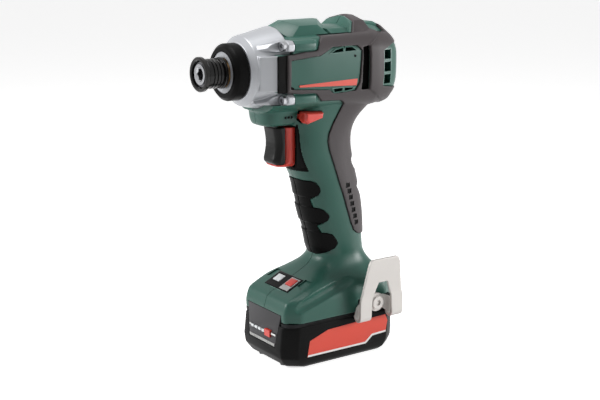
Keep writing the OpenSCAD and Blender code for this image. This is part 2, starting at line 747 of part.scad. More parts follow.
// an outline of teeth, with the given reach above and below the pitch circle and the flanks thinned by slim
function inv(c) = tan(c) * 180 / PI - c;
function half_tooth(teeth, r, slim) =
    let (rp = gear_m * teeth / 2, rb = rp * cos(pressure))
    90 / teeth - slim * 90 / PI / rp + inv(pressure) - (r > rb ? inv(acos(rb / r)) : 0);
function tooth_radii(teeth, up, down) =
    let (rp = gear_m * teeth / 2) [rp - down, rp - down / 2, rp, rp + up / 2, rp + up];
function teeth_pts(teeth, up, down, slim) =
    let (rr = tooth_radii(teeth, up, down), m = len(rr))
    [for (k = [0:teeth - 1]) each concat(
        [for (i = [0:m - 1]) let (a = 360 * k / teeth - half_tooth(teeth, rr[i],
            slim)) rr[i] * [cos(a), sin(a)]],
        [for (i = [m - 1:-1:0]) let (a = 360 * k / teeth + half_tooth(teeth, rr[i],
            slim)) rr[i] * [cos(a), sin(a)]])];
module gear(teeth, l, up, down, slim) {
    linear_extrude(l) polygon(teeth_pts(teeth, up, down, slim));
}
addendum = addendum_share * gear_m;
sun_core_r = gear_m * sun_teeth / 3;
dedendum = dedendum_share * gear_m;
// turn of a planet that puts its spaces on the sun's teeth, and of the ring that takes the planet's teeth
function planet_turn(a) = a + 180 - (360 / planet_teeth) * (0.5 - sun_teeth * a / 360);
ring_turn = 180 - 360 / ring_teeth * planet_teeth * (180 - planet_turn(180)) / 360;
planet_angles = [60, 180, 300];

module gear_frame(x) {
    translate([x, 0, spindle_z]) rotate([0, 90, 0]) children();
}

module ring_gear() {
    color([0.6, 0.6, 0.62]) gear_frame(gear_x) difference() {
        cylinder(h = gear_l, r = bore_r - run);
        translate([0, 0, -over]) rotate(ring_turn)
            gear(ring_teeth, gear_l + 2 * over, dedendum, addendum, -backlash);
    }
}

module motor_plate() {
    color([0.55, 0.55, 0.56]) difference() {
        rod_x(plate_x, plate_x + plate_l, case_r - slack / 2);
        rod_x(plate_x + plate_lip, plate_x + plate_l + over, front_bearing_r + run);
        rod_x(plate_x - over, plate_x + plate_l, shaft_r + 2 * slack);
    }
}
module front_bearing() {
    color([0.7, 0.7, 0.72]) tube_x(plate_x + plate_lip + run, plate_x + plate_l, front_bearing_r,
        shaft_r + run);
}
module spindle_bearing() {
    color([0.7, 0.7, 0.72]) tube_x(flange_x + bearing_inset, flange_x + flange_l - bearing_inset,
        bore_r - run, flange_r + run);
}

// six wound teeth in a round stack
slots = 6;
tooth_w = 0.36 * rotor_r;
yoke_r = 0.82 * stator_r;
gap_r = rotor_r + air_gap;
module stator_core() {
    color([0.35, 0.36, 0.38]) difference() {
        union() {
            tube_x(stator_back, stator_front, stator_r, yoke_r);
            for (k = [0:slots - 1]) translate([stator_back, 0, spindle_z]) rotate([360 * k / slots, 0, 0])
                translate([0, -tooth_w / 2, gap_r]) cube([stator_l, tooth_w, yoke_r - gap_r + shoe_t]);
            tube_x(stator_back, stator_front, gap_r + shoe_t, gap_r);
        }
        rod_x(stator_back - over, stator_front + over, gap_r);
    }
}
coil_w = 2.6 * tooth_w;
module stator_coils() {
    r0 = gap_r + shoe_t + slack / 2;
    r1 = yoke_r - slack / 2;
    color([0.72, 0.42, 0.2]) for (k = [0:slots - 1]) translate([stator_back - coil_over, 0, spindle_z])
        rotate([360 * k / slots, 0, 0])
        difference() {
            translate([0, -coil_w / 2, r0]) cube([stator_l + 2 * coil_over, coil_w, 0.86 * (r1 - r0)]);
            translate([coil_over - run, -tooth_w / 2 - run, 0])
                cube([stator_l + 2 * run, tooth_w + 2 * run, 2 * r1]);
        }
}
module sensor_board() {
    color([0.1, 0.35, 0.2]) tube_x(board_x - board_t, board_x, 0.95 * stator_r, 1.2 * rotor_r);
}
module rear_bearing() {
    color([0.7, 0.7, 0.72]) tube_x(rear_bearing_x, rear_bearing_x + bearing_l, bearing_r, shaft_r + run);
}

module trigger_switch() {
    z0 = trigger_low + switch_inset;
    z1 = trigger_top - trigger_gap;
    color([0.12, 0.12, 0.13]) difference() {
        box([switch_x - switch_l, -switch_hw, z0], [switch_x, switch_hw, z1]);
        translate([switch_x - switch_l / 2, 0, (trigger_low + trigger_top) / 2]) rotate([0, 90, 0])
            cylinder(h = switch_l, r = stem_r + run);
    }
}

block_h = 5.3;
board_z = tee_z1 + slack + block_h;
block_hl = 8;
block_inset = 4.3;
block_x = block_inset + block_hl - base_hl;
block_hw = 16;
module control_board() {
    color([0.1, 0.35, 0.2]) difference() {
        box([block_x - 0.85 * block_hl, -0.62 * base_hw, board_z],
            [0.12 * base_hl, 0.62 * base_hw, board_z + board_t]);
        for (p = housing_screw_at) translate([p[0], base_hw, p[1]]) rotate([90, 0, 0])
            cylinder(h = 2 * base_hw, r = screw_boss_r + slack);
    }
}
module terminal_block() {
    color([0.15, 0.15, 0.15]) difference() {
        box([block_x - block_hl, -block_hw, tee_z1 + slack], [block_x + block_hl, block_hw, board_z]);
        for (y = blade_y) box([block_x - blade_hl - run, y - blade_t / 2 - run, 0],
            [block_x + blade_hl + run, y + blade_t / 2 + run, blade_z1]);
        for (p = housing_screw_at) translate([p[0], base_hw, p[1]]) rotate([90, 0, 0])
            cylinder(h = 2 * base_hw, r = screw_boss_r + slack);
    }
}
blade_t = 0.8;
blade_hl = 6;
blade_z0 = pack_h + 4 * slack;
blade_z1 = tee_z1 + block_h / 2;
blade_y = [for (k = [-1.5:1:1.5]) k * 0.52 * block_hw];
module terminal_blades() {
    color([0.8, 0.68, 0.35]) for (y = blade_y)
        box([block_x - blade_hl, y - blade_t / 2, blade_z0],
            [block_x + blade_hl, y + blade_t / 2, blade_z1]);
}

module control_panel() {
    color([0.04, 0.04, 0.04]) difference() {
        deck_box(panel_l, 2 * panel_hw, -panel_t, slack);
        deck_box(button_l + 2 * slack, button_w + 2 * slack, -2 * panel_t, panel_t, button_x, button_y);
        deck_box(lens_l + 2 * run, lens_w + 2 * run, -2 * panel_t, panel_t, lens_x, lens_y);
    }
}
module light_lens() {
    color([0.92, 0.94, 0.95]) deck_box(lens_l, lens_w, -panel_t, button_rise / 2, lens_x, lens_y);
}
module mode_button() {
    color([0.8, 0.15, 0.12]) deck_box(button_l, button_w, -panel_t, button_rise, button_x, button_y);
}

module hook_brackets() {
    color([0.07, 0.07, 0.07]) mirror_y() difference() {
        box([hook_x - hook_pad_hl, hook_pad_y - hook_pad_t, hook_pad_z0],
            [hook_x + hook_pad_hl, hook_pad_y, hook_pad_z1]);
        translate([hook_x, hook_pad_y + over, hook_screw_z]) rotate([90, 0, 0])
            cylinder(h = hook_pad_t + 2 * over, r = hook_hole_r);
    }
}

// one sheet of steel: a bow-tie plate on the pad, two turned-up legs and a flared tongue
hook_drop = 5.6;
hook_z0 = base_z - hook_drop;
hook_y = hook_pad_y + run;
bend_ri = (hook_gap - hook_t) / 2;
bend_z = hook_z0 + bend_ri + hook_t;
leg_y = hook_y + hook_gap;
leg_w = 0.52 * hook_hw;
hook_flare = 7;
hook_knee = hook_z0 + 0.42 * hook_h;
plate_shares = [[-0.98, 0], [-0.46, 0], [-0.3, 0.24], [0.3, 0.24], [0.46, 0], [0.98, 0], [0.8, 0.36],
    [0.78, 0.5],
                [0.3, 0.34], [0, 0.42], [-0.3, 0.34], [-0.78, 0.5], [-0.8, 0.36]];
leg_shares = [[1, 0], [1, 0.6], [0.93, 1.03], [0.25, 1.03], [0.29, 0.8], [0.48, 0.16], [0.48, 0]];
tongue_shares = [[-0.94, -0.01], [0.94, -0.01], [0.72, 0.5], [0.66, 0.565], [0.56, 0.585],
    [-0.56, 0.585], [-0.66, 0.565],
                 [-0.72, 0.5]];
window_shares = [[-0.25, -0.2], [0.25, -0.2], [0.2, 0.18], [-0.2, 0.18]];
module belt_hook() {
    color([0.8, 0.8, 0.81]) {
        // plate on the pad, with its screw hole and a round seat
        difference() {
            union() {
                across([for (p = plate_shares) [hook_x + p[0] * hook_hw, bend_z + p[1] * hook_h]],
                    hook_y, hook_y + hook_t);
                translate([hook_x, hook_y + hook_t, hook_screw_z]) rotate([90, 0, 0])
                    cylinder(h = hook_t, r = 1.5 * hook_screw_head_r);
            }
            translate([hook_x, hook_y + hook_gap, hook_screw_z]) rotate([90, 0, 0])
                cylinder(h = 2 * hook_gap, r = hook_hole_r + slack);
        }
        // the two bends
        for (s = [-1, 1]) translate([hook_x + (s > 0 ? hook_hw - leg_w : -hook_hw),
            hook_y + hook_t + bend_ri, bend_z])
            rotate([90, 0, 90]) intersection() {
                difference() {
                    cylinder(h = leg_w, r = bend_ri + hook_t);
                    translate([0, 0, -over]) cylinder(h = leg_w + 2 * over, r = bend_ri);
                }
                translate([-hook_gap, -2 * hook_gap, 0]) cube([2 * hook_gap, 2 * hook_gap + run, leg_w]);
            }
        // upright legs
        for (s = [-1, 1]) across([for (p = leg_shares) [hook_x + s * p[0] * hook_hw,
            bend_z + p[1] * (hook_knee - bend_z)]],
                                 leg_y, leg_y + hook_t);
        // flared tongue above the knee
        translate([hook_x, leg_y, hook_knee]) rotate([-hook_flare, 0, 0]) difference() {
            across([for (p = tongue_shares) [p[0] * hook_hw, p[1] * hook_h]], 0, hook_t);
            across([for (p = window_shares) [p[0] * hook_hw, p[1] * hook_h]], -over, hook_t + over);
        }
    }
}
module hook_screw() {
    color([0.3, 0.3, 0.31]) translate([hook_x, hook_y + hook_t, hook_screw_z]) rotate([90, 0, 0])
        difference() {
        union() {
            translate([0, 0, -hook_screw_head_l]) cylinder(h = hook_screw_head_l, r = hook_screw_head_r);
            cylinder(h = hook_t + hook_pad_t, r = hook_hole_r - run);
        }
        translate([0, 0, -1.5 * hook_screw_head_l])
            cylinder(h = hook_screw_head_l, r = hook_screw_head_r / 2, $fn = 6);
    }
}

// rotor
module motor_shaft() {
    color([0.65, 0.65, 0.67]) {
        rod_x(rear_bearing_x, gear_x, shaft_r);
        rod_x(gear_x - end_play, gear_x + gear_l, sun_core_r);
        gear_frame(gear_x) gear(sun_teeth, gear_l, addendum, dedendum, backlash);
    }
}
magnet_t = 1;
module rotor_core() {
    color([0.4, 0.4, 0.42]) difference() {
        tube_x(stator_back - shoe_t, stator_front + shoe_t, rotor_r, shaft_r);
        // buried magnets show as four slots
        for (k = [0:3]) translate([stator_back - 2 * over, 0, spindle_z]) rotate([90 * k, 0, 0])
            translate([0, -rotor_r / 2, 0.66 * rotor_r]) cube([stator_l + 4 * over, rotor_r, magnet_t]);
    }
}
fan_blades = 9;
fan_t = 1.2;
module cooling_fan() {
    color([0.16, 0.16, 0.17]) {
        tube_x(fan_x, fan_x + fan_l, 2 * shaft_r, shaft_r);
        tube_x(fan_x + fan_l - fan_t, fan_x + fan_l, fan_r, shaft_r);
        for (k = [0:fan_blades - 1]) translate([fan_x, 0, spindle_z]) rotate([360 * k / fan_blades, 0, 0])
            translate([0, -fan_t / 2, 1.9 * shaft_r])
                cube([fan_l - fan_t / 2, fan_t, 0.94 * fan_r - 2 * shaft_r]);
    }
}

// spindle with its planet flange, pins and cam balls
ball_r = 2.4;
ball_inset = 1;
ball_x = hammer_x + hammer_l - ball_r - ball_inset;
pilot_r = 0.4 * spindle_r;
module spindle() {
    color([0.55, 0.55, 0.57]) difference() {
        union() {
            rod_x(flange_x, flange_x + flange_l, flange_r);
            rod_x(flange_x + bearing_inset, lug_x - slack, spindle_r);
            rod_x(flange_x + bearing_inset, lug_x + dog_l, pilot_r);
        }
        for (a = planet_angles) gear_frame(flange_x - over) rotate(a) translate([planet_orbit, 0, 0])
            cylinder(h = over + flange_l - bearing_inset, r = pin_r + run);
        for (s = [-1, 1]) translate([ball_x, s * spindle_r, spindle_z]) sphere(r = ball_r + run);
    }
}
module planet_pins() {
    color([0.72, 0.72, 0.74]) for (a = planet_angles) gear_frame(gear_x) rotate(a)
        translate([planet_orbit, 0, 0])
        cylinder(h = gear_l + flange_air + flange_l - 2 * bearing_inset, r = pin_r);
}
module cam_balls() {
    color([0.8, 0.8, 0.82]) for (s = [-1, 1]) translate([ball_x, s * spindle_r, spindle_z])
        sphere(r = ball_r);
}

// a round wire wound along X between two ends
coil_sides = 6;
coil_steps = 20;
module wire_coil(x0, x1, r, wire, turns) {
    m = turns * coil_steps;
    rings = [for (i = [0:m]) let (t = 360 * i / coil_steps, x = x0 + wire / 2 + (x1 - x0 - wire) * i / m)
        [for (k = [0:coil_sides - 1]) let (b = -360 * k / coil_sides, q = r + wire / 2 * cos(b))
            [x + wire / 2 * sin(b), q * cos(t), spindle_z + q * sin(t)]]];
    skin_over(rings);
}
spring_seat = hammer_x + hammer_l / 2;
spring_r = (spindle_r + hammer_r) / 2;
module hammer_spring() {
    color([0.45, 0.45, 0.47]) wire_coil(flange_x + flange_l + run, spring_seat - run, spring_r,
        hammer_wire, 4);
}

module planet(k) {
    a = planet_angles[k];
    color([0.68, 0.68, 0.7]) gear_frame(gear_x + end_play / 2) rotate(a) translate([planet_orbit, 0, 0])
        rotate(planet_turn(a) - a)
        difference() {
            gear(planet_teeth, gear_l - end_play, addendum, dedendum, backlash);
            translate([0, 0, -over]) cylinder(h = gear_l + over, r = pin_r + run);
        }
}
module planet_gear_1() {
    planet(0);
}
module planet_gear_2() {
    planet(1);
}
module planet_gear_3() {
    planet(2);
}

// hammer dogs stand above and below, the anvil's lugs to the left and right
lug_hw = 0.24 * hammer_r;
collar_r = 1.17 * anvil_r;
dog_gap = 1.12;
module hammer() {
    color([0.38, 0.38, 0.4]) difference() {
        union() {
            rod_x(hammer_x, hammer_x + hammer_l, hammer_r);
            for (s = [0, 180]) translate([0, 0, spindle_z]) rotate([s, 0, 0]) intersection() {
                translate([hammer_x + hammer_l / 2, 0, 0]) rotate([0, 90, 0])
                    cylinder(h = hammer_l / 2 + dog_l - slack, r = hammer_r);
                box([0, -lug_hw, collar_r + dog_gap], [2 * lug_x, lug_hw, 2 * hammer_r]);
            }
        }
        rod_x(hammer_x - over, lug_x + over, spindle_r + run);
        // seat of the spring
        tube_x(hammer_x - over, spring_seat, spring_r + hammer_wire / 2 + slack,
            spring_r - hammer_wire / 2 - slack);
        // cam grooves, open to the front
        for (s = [-1, 1]) translate([ball_x - ball_r - ball_inset, s * spindle_r, spindle_z])
            rotate([0, 90, 0])
            cylinder(h = hammer_l, r = ball_r + slack);
    }
}

bit_ball_r = 1.5;
bit_ball_at = anvil_r - bit_ball_r - run;
sleeve_lip = 1.1;
ball_reach = sleeve_travel + sleeve_lip;
clip_reach = 2.6;
bit_ball_x = sleeve_x + ball_reach;
clip_x = sleeve_end - clip_reach;
clip_t = 0.8;
clip_depth = 0.5;
lead_in = 1;
module anvil() {
    color([0.62, 0.62, 0.64]) difference() {
        union() {
            rod_x(lug_x, anvil_end, anvil_r);
            intersection() {
                rod_x(lug_x, lug_x + dog_l, 0.95 * hammer_r);
                box([0, -2 * hammer_r, spindle_z - lug_hw], [2 * lug_x, 2 * hammer_r, spindle_z + lug_hw]);
            }
            rod_x(lug_x, lug_x + dog_l, collar_r);
        }
        // hexagon with its corners to the left and right, and a lead-in
        translate([anvil_end - hex_depth, 0, spindle_z]) rotate([0, 90, 0]) rotate(90)
            cylinder(h = hex_depth + over, r = hex_af / sqrt(3), $fn = 6);
        translate([anvil_end - lead_in, 0, spindle_z]) rotate([0, 90, 0])
            cylinder(h = 2 * lead_in, r1 = hex_af / 2, r2 = hex_af / 2 + 2 * lead_in);
        rod_x(lug_x - over, lug_x + dog_l + over, pilot_r + run);
        for (s = [0, 180]) translate([bit_ball_x, 0, spindle_z]) rotate([s - 90, 0, 0])
            cylinder(h = anvil_r + over, r = bit_ball_r + run);
        tube_x(clip_x, clip_x + clip_t, anvil_r + over, anvil_r - clip_depth);
    }
}
module bit_balls() {
    color([0.82, 0.82, 0.84]) for (s = [-1, 1]) translate([bit_ball_x, s * bit_ball_at, spindle_z])
        sphere(r = bit_ball_r);
}
washer_x = clip_x - clip_t - run;
sleeve_wall = 0.9;
chamber_r = sleeve_r - sleeve_wall;
land_x = bit_ball_x - bit_ball_r;
land_l = 2 * bit_ball_r;
sleeve_wire = 0.8;
sleeve_coil_r = (anvil_r + chamber_r) / 2;
module sleeve_spring() {
    color([0.55, 0.55, 0.57]) wire_coil(land_x + land_l + run, washer_x - run, sleeve_coil_r,
        sleeve_wire, 3);
}
module sleeve_washer() {
    color([0.5, 0.5, 0.52]) tube_x(washer_x, washer_x + clip_t, chamber_r - slack, anvil_r + run);
}
module snap_ring() {
    color([0.45, 0.45, 0.47]) tube_x(clip_x + run, clip_x + clip_t - run, chamber_r - 2 * slack,
        anvil_r - clip_depth + run);
}
groove_t = 1.2;
flange_t = 2.8;
module bit_sleeve() {
    color([0.13, 0.13, 0.14]) difference() {
        union() {
            rod_x(sleeve_x, sleeve_end, sleeve_r);
            translate([sleeve_end - flange_t, 0, spindle_z]) rotate([0, 90, 0]) rotate_extrude()
                polygon([[sleeve_r - sleeve_wall, 0], [sleeve_flange_r, 0],
                    [sleeve_flange_r, 0.8 * flange_t],
                         [0.92 * sleeve_flange_r, flange_t], [sleeve_r - sleeve_wall, flange_t]]);
            rod_x(sleeve_x, sleeve_x + groove_t, 1.06 * sleeve_r);
        }
        // grip grooves round the body
        for (k = [1:3]) tube_x(sleeve_x + 2.1 * k * groove_t, sleeve_x + (2.1 * k + 1) * groove_t,
            2 * sleeve_r, sleeve_r - slack);
        rod_x(sleeve_x - over, sleeve_end + over, anvil_r + run);
        rod_x(sleeve_x - over, land_x, chamber_r);
        rod_x(land_x + land_l, sleeve_end + over, chamber_r);
    }
}

// trigger: dark finger face on a red frame whose stem works the switch
trigger_face_shares = [[0, 0.1], [0.82, 0.06], [0.94, 0.12], [0.8, 0.34], [0.74, 0.56], [0.84, 0.78],
    [1.06, 0.92], [1.04, 0.98], [0, 0.98]];
module trigger() {
    x0 = trigger_x + trigger_frame_l;
    color([0.07, 0.07, 0.07]) intersection() {
        across([for (p = trigger_face_shares) [x0 + p[0] * trigger_l, trigger_low + p[1] * trigger_h]],
               -trigger_hw + face_step, trigger_hw - face_step);
        trigger_round();
    }
}
// the trigger's front is round across
module trigger_round() {
    translate([trigger_x + trigger_frame_l + 1.03 * trigger_l - trigger_front_r, 0, trigger_low - over])
        cylinder(h = trigger_h + 2 * over, r = trigger_front_r);
}
module trigger_frame() {
    color([0.78, 0.16, 0.12]) {
        box([trigger_x, -trigger_hw, trigger_low], [trigger_x + trigger_frame_l, trigger_hw,
            trigger_top - trigger_gap]);
        intersection() {
            box([trigger_x + trigger_frame_l / 2, -trigger_hw + face_step, trigger_low],
                [trigger_x + trigger_frame_l + 0.7 * trigger_l, trigger_hw - face_step,
                    trigger_low + 0.05 * trigger_h]);
            trigger_round();
        }
        translate([trigger_x - stem_l, 0, (trigger_low + trigger_top) / 2]) rotate([0, 90, 0])
            cylinder(h = stem_l + stem_bite, r = stem_r);
    }
}

module direction_lever() {
    color([0.8, 0.15, 0.12]) {
        for (s = [-1, 1]) across(lever_pts, s > 0 ? lever_hw - lever_depth : -lever_hw,
            s > 0 ? lever_hw : lever_depth - lever_hw);
        box([lever_c[0] - lever_bar_hl, -lever_hw + lever_reach, lever_c[1] - lever_bar_hh],
            [lever_c[0] + lever_bar_hl, lever_hw - lever_reach, lever_c[1] + lever_bar_hh]);
    }
}

// battery pack, in shares of its height, length and half width
pack_shares = [[0, 0.91, -0.945, 0.85, 9], [0.05, 0.97, -0.985, 0.91, 8], [0.24, 1.055, -1.015, 0.99, 8],
               [0.45, 1.07, -1.02, 1, 8], [0.93, 1.035, -1.015, 1, 8]];
lid_t = 0.07 * pack_h;
end_wall = 4;
chamber_n = 26;
module pack_chamber() {
    skin_over([for (r = pack_shares) ring(r[1] * pack_front - end_wall, r[2] * pack_back + end_wall,
        r[3] * pack_hw - pack_wall,
                                          chamber_n, r[0] * pack_h + pack_wall)]);
}
module pack_form(grow, lift = 0) {
    skin_over([for (r = pack_shares) ring(r[1] * pack_front + grow, r[2] * pack_back - grow,
        r[3] * pack_hw + grow, r[4],
                                          r[0] * pack_h + lift)]);
}
// the release plate's outline and seat
release_z0 = 0.46 * pack_h;
release_z1 = shoe_z - slack;
release_t = 3;
release_x = 1.07 * pack_front - release_t;
release_low_hw = 0.78 * release_hw;
module release_prism(x0, x1, grow) {
    translate([x0, 0, 0]) rotate([90, 0, 90]) linear_extrude(x1 - x0)
        polygon([[-release_low_hw - grow, release_z0 - grow], [release_low_hw + grow, release_z0 - grow],
                 [release_hw + grow, release_z1 + grow], [-release_hw - grow, release_z1 + grow]]);
}
seat_x = release_x - release_travel - slack;
module pack_case() {
    color([0.1, 0.1, 0.1]) difference() {
        pack_form(0);
        difference() {
            pack_chamber();
            for (p = pack_screw_at) translate([p[0], p[1], 0]) cylinder(h = post_z - slack, r = post_r);
        }
        release_prism(seat_x, 2 * pack_front, slack);
        for (p = pack_screw_at) translate([p[0], p[1], -over])
            cylinder(h = pack_h, r = pack_screw_r + slack / 2);
        for (p = pack_screw_at) translate([p[0], p[1], -over])
            cylinder(h = over + pack_screw_sink, r = pack_screw_head_r + slack / 2);
    }
}
post_gap = 2.6;
post_y_share = 0.435;
pack_screw_at = [for (x = [cell_x + cell_l + post_gap, cell_x - post_gap]) for (s = [-1, 1])
    [x, s * post_y_share * pack_hw]];
pack_screw_r = 1.2;
pack_screw_head_r = 2.2;
pack_screw_sink = 1;
pack_screw_foot = 0.3;
contact_slot = 2.4;
post_r = 2;
post_z = 0.3 * pack_h;
lid_z0 = 0.93 * pack_h;
module pack_lid() {
    color([0.13, 0.13, 0.13]) difference() {
        union() {
            difference() {
                translate([0, 0, lid_z0]) linear_extrude(lid_t)
                    polygon([for (p = ring(1.025 * pack_front, -1.01 * pack_back, pack_hw, 8, 0)) [p[0],
                    p[1]]]);
                box([seat_x, -release_hw - slack, 0], [2 * pack_front, release_hw + slack, 2 * pack_h]);
            }
            box([-0.9 * pack_back, -tee_neck_hw, lid_z0], [seat_x, tee_neck_hw, tee_z1]);
            box([-0.9 * pack_back, -tee_hw, tee_z0], [0.9 * pack_front, tee_hw, tee_z1]);
            // screw posts
            for (p = pack_screw_at) translate([p[0], p[1], post_z])
                cylinder(h = lid_z0 - post_z + lid_t / 2, r = post_r);
        }
        // contact slots, open to the rear
        for (y = blade_y) box([-2 * pack_back, y - contact_slot / 2, blade_z0 - slack],
            [block_x + blade_hl + contact_slot, y + contact_slot / 2, 2 * pack_h]);
        for (p = pack_screw_at) translate([p[0], p[1], 0])
            cylinder(h = 0.6 * pack_h, r = pack_screw_r + slack / 2);
        // room for the upper cell
        translate([cell_x - end_wall, 0, cell_low_z + cell_lift]) rotate([0, 90, 0])
            cylinder(h = cell_l + 2 * end_wall, r = cell_r + slack / 2);
    }
}
// three cells in a flat zigzag
cell_at = [[-cell_y, cell_low_z], [0, cell_low_z + cell_lift], [cell_y, cell_low_z]];
cell_cap = 1;
tab_hw = 2;
module battery_cells() {
    color([0.2, 0.3, 0.55]) for (p = cell_at) translate([cell_x, p[0], p[1]]) rotate([0, 90, 0]) {
        cylinder(h = cell_l - cell_cap, r = cell_r);
        cylinder(h = cell_l, r = cell_r / 3);
    }
}
module cell_tabs() {
    color([0.75, 0.75, 0.76]) {
        box([cell_x - slack, -cell_y - tab_hw, cell_low_z],
            [cell_x - run, tab_hw, cell_low_z + 2 * tab_hw]);
        box([cell_x - slack, -tab_hw, cell_low_z], [cell_x - run, tab_hw, cell_low_z + cell_lift + tab_hw]);
        box([cell_x + cell_l + run, -tab_hw, cell_low_z],
            [cell_x + cell_l + slack, cell_y + tab_hw, cell_low_z + 2 * tab_hw]);
        box([cell_x + cell_l + run, -tab_hw, cell_low_z],
            [cell_x + cell_l + slack, tab_hw, cell_low_z + cell_lift + tab_hw]);
    }
}
pack_board_hw = 0.52 * tee_neck_hw;
module pack_board() {
    color([0.1, 0.35, 0.2]) for (s = [-1, 1]) translate([0, s * 0.66 * pack_hw, 0])
        box([-0.6 * pack_back, -pack_board_hw / 2, lid_z0 - slack / 2 - board_t],
            [0.6 * pack_front, pack_board_hw / 2, lid_z0 - slack / 2]);
}
module pack_terminals() {
    color([0.8, 0.68, 0.35]) for (y = blade_y) for (s = [-1, 1])
        box([block_x - blade_hl, y + s * (blade_t / 2 + slack) - (s < 0 ? slack : 0),
            blade_z0 - slack + run],
            [block_x + blade_hl, y + s * (blade_t / 2 + slack) + (s > 0 ? slack : 0), tee_z1 - 2 * slack]);
}
module pack_screws() {
    color([0.3, 0.3, 0.31]) for (p = pack_screw_at) translate([p[0], p[1], 0]) difference() {
        union() {
            translate([0, 0, pack_screw_foot]) cylinder(h = pack_screw_sink - pack_screw_foot - run,
                r = pack_screw_head_r);
            translate([0, 0, pack_screw_foot]) cylinder(h = 0.5 * pack_h, r = pack_screw_r);
        }
        cylinder(h = 2 * pack_screw_foot, r = pack_screw_head_r / 2, $fn = 6);
    }
}

light_n = 4;
light_w = 0.11 * release_hw;
light_h = 0.05 * pack_h;
light_z = 0.7 * pack_h;
gauge_y = 0.36 * release_hw;
gauge_hw = 0.16 * release_hw;
gauge_h = 0.14 * pack_h;
gauge_travel = 0.6;
module release_plate() {
    color([0.16, 0.16, 0.17]) difference() {
        release_prism(release_x, release_x + release_t, 0);
        for (k = [0:light_n - 1]) light_box(k, run, over);
        box([release_x - over, gauge_y - gauge_hw - slack, light_z - gauge_h / 2 - slack],
            [2 * pack_front, gauge_y + gauge_hw + slack, light_z + gauge_h / 2 + slack]);
    }
}
module light_box(k, grow, out) {
    y = -0.6 * release_hw + 2 * k * light_w;
    box([release_x + release_t / 2 - grow, y - light_w * 0.7 - grow, light_z - light_h / 2 - grow],
        [release_x + release_t + out, y + light_w * 0.7 + grow, light_z + light_h / 2 + grow]);
}
module charge_lights() {
    color([0.9, 0.9, 0.9]) for (k = [0:light_n - 1]) light_box(k, 0, run);
}
module charge_button() {
    color([0.8, 0.15, 0.12]) box([release_x + gauge_travel + slack, gauge_y - gauge_hw,
        light_z - gauge_h / 2],
                                 [release_x + release_t + gauge_travel, gauge_y + gauge_hw,
                                     light_z + gauge_h / 2]);
}

housing_left();
housing_right();
overmould_left();
overmould_right();
finger_grip_left();
finger_grip_right();
gear_housing();
nose_ring();
gear_housing_screws();
housing_screws();
anvil_bush();
ring_gear();
motor_plate();
front_bearing();
spindle_bearing();
stator_core();
stator_coils();
sensor_board();
rear_bearing();
trigger_switch();
control_board();
terminal_block();
terminal_blades();
control_panel();
light_lens();
hook_brackets();
belt_hook();
hook_screw();
motor_shaft();
rotor_core();
cooling_fan();
spindle();
planet_pins();
cam_balls();
hammer_spring();
planet_gear_1();
planet_gear_2();
planet_gear_3();
hammer();
anvil();
bit_balls();
sleeve_spring();
sleeve_washer();
snap_ring();
bit_sleeve();
trigger();
trigger_frame();
direction_lever();
mode_button();
pack_case();
pack_lid();
battery_cells();
cell_tabs();
pack_board();
pack_terminals();
pack_screws();
release_plate();
charge_lights();
charge_button();
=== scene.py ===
import bpy
import math
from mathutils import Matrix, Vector


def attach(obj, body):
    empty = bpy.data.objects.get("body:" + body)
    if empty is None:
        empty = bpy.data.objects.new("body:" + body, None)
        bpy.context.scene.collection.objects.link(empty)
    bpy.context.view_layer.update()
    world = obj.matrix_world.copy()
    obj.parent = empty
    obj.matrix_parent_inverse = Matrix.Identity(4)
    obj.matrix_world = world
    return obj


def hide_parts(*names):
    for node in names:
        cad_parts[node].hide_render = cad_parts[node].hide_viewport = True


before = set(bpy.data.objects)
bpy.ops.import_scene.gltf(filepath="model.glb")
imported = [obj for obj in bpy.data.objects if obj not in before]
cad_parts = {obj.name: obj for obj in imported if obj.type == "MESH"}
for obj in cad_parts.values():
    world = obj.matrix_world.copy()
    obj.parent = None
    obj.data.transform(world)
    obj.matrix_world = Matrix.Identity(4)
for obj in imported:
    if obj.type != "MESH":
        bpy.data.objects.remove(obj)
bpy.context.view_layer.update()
print("frame loaded:", len(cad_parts), "nodes")

# Everything is modelled in millimetres and brought to metres by settle()
axisZ = 183.5  # height of the drive's axis
seamHalf = 0.2  # half of the gap between left and right halves
weld = 0.0005  # points closer than this are joined
far, ahead = 60, 90  # sideways and forward reach of cutters


# helpers: selection and edit mode
def clearSelection():
    if bpy.context.mode != "OBJECT":
        bpy.ops.object.mode_set(mode="OBJECT")
    bpy.ops.object.select_all(action="DESELECT")


def pick(*pieces):
    clearSelection()
    for piece in pieces:
        piece.select_set(True)
    bpy.context.view_layer.objects.active = pieces[0]


def openMesh(piece):
    pick(piece)
    bpy.ops.object.mode_set(mode="EDIT")
    bpy.ops.mesh.select_all(action="SELECT")


def closeMesh():
    bpy.ops.mesh.select_all(action="SELECT")
    bpy.ops.mesh.normals_make_consistent(inside=False)
    bpy.ops.object.mode_set(mode="OBJECT")


def named(name):
    piece = bpy.context.object
    piece.name = name
    piece.data.name = name
    return piece


def applyPlace(piece):  # bakes location, rotation and scale into the mesh
    pick(piece)
    bpy.ops.object.transform_apply(location=True, rotation=True, scale=True)
    return piece


def modify(piece, kind, **settings):
    pick(piece)
    step = piece.modifiers.new(kind.lower(), kind)
    for key, value in settings.items():
        setattr(step, key, value)
    bpy.ops.object.modifier_apply(modifier=step.name)
    return piece


def placePoints(piece, points):
    piece.data.vertices.foreach_set("co", [value for point in points for value in point])


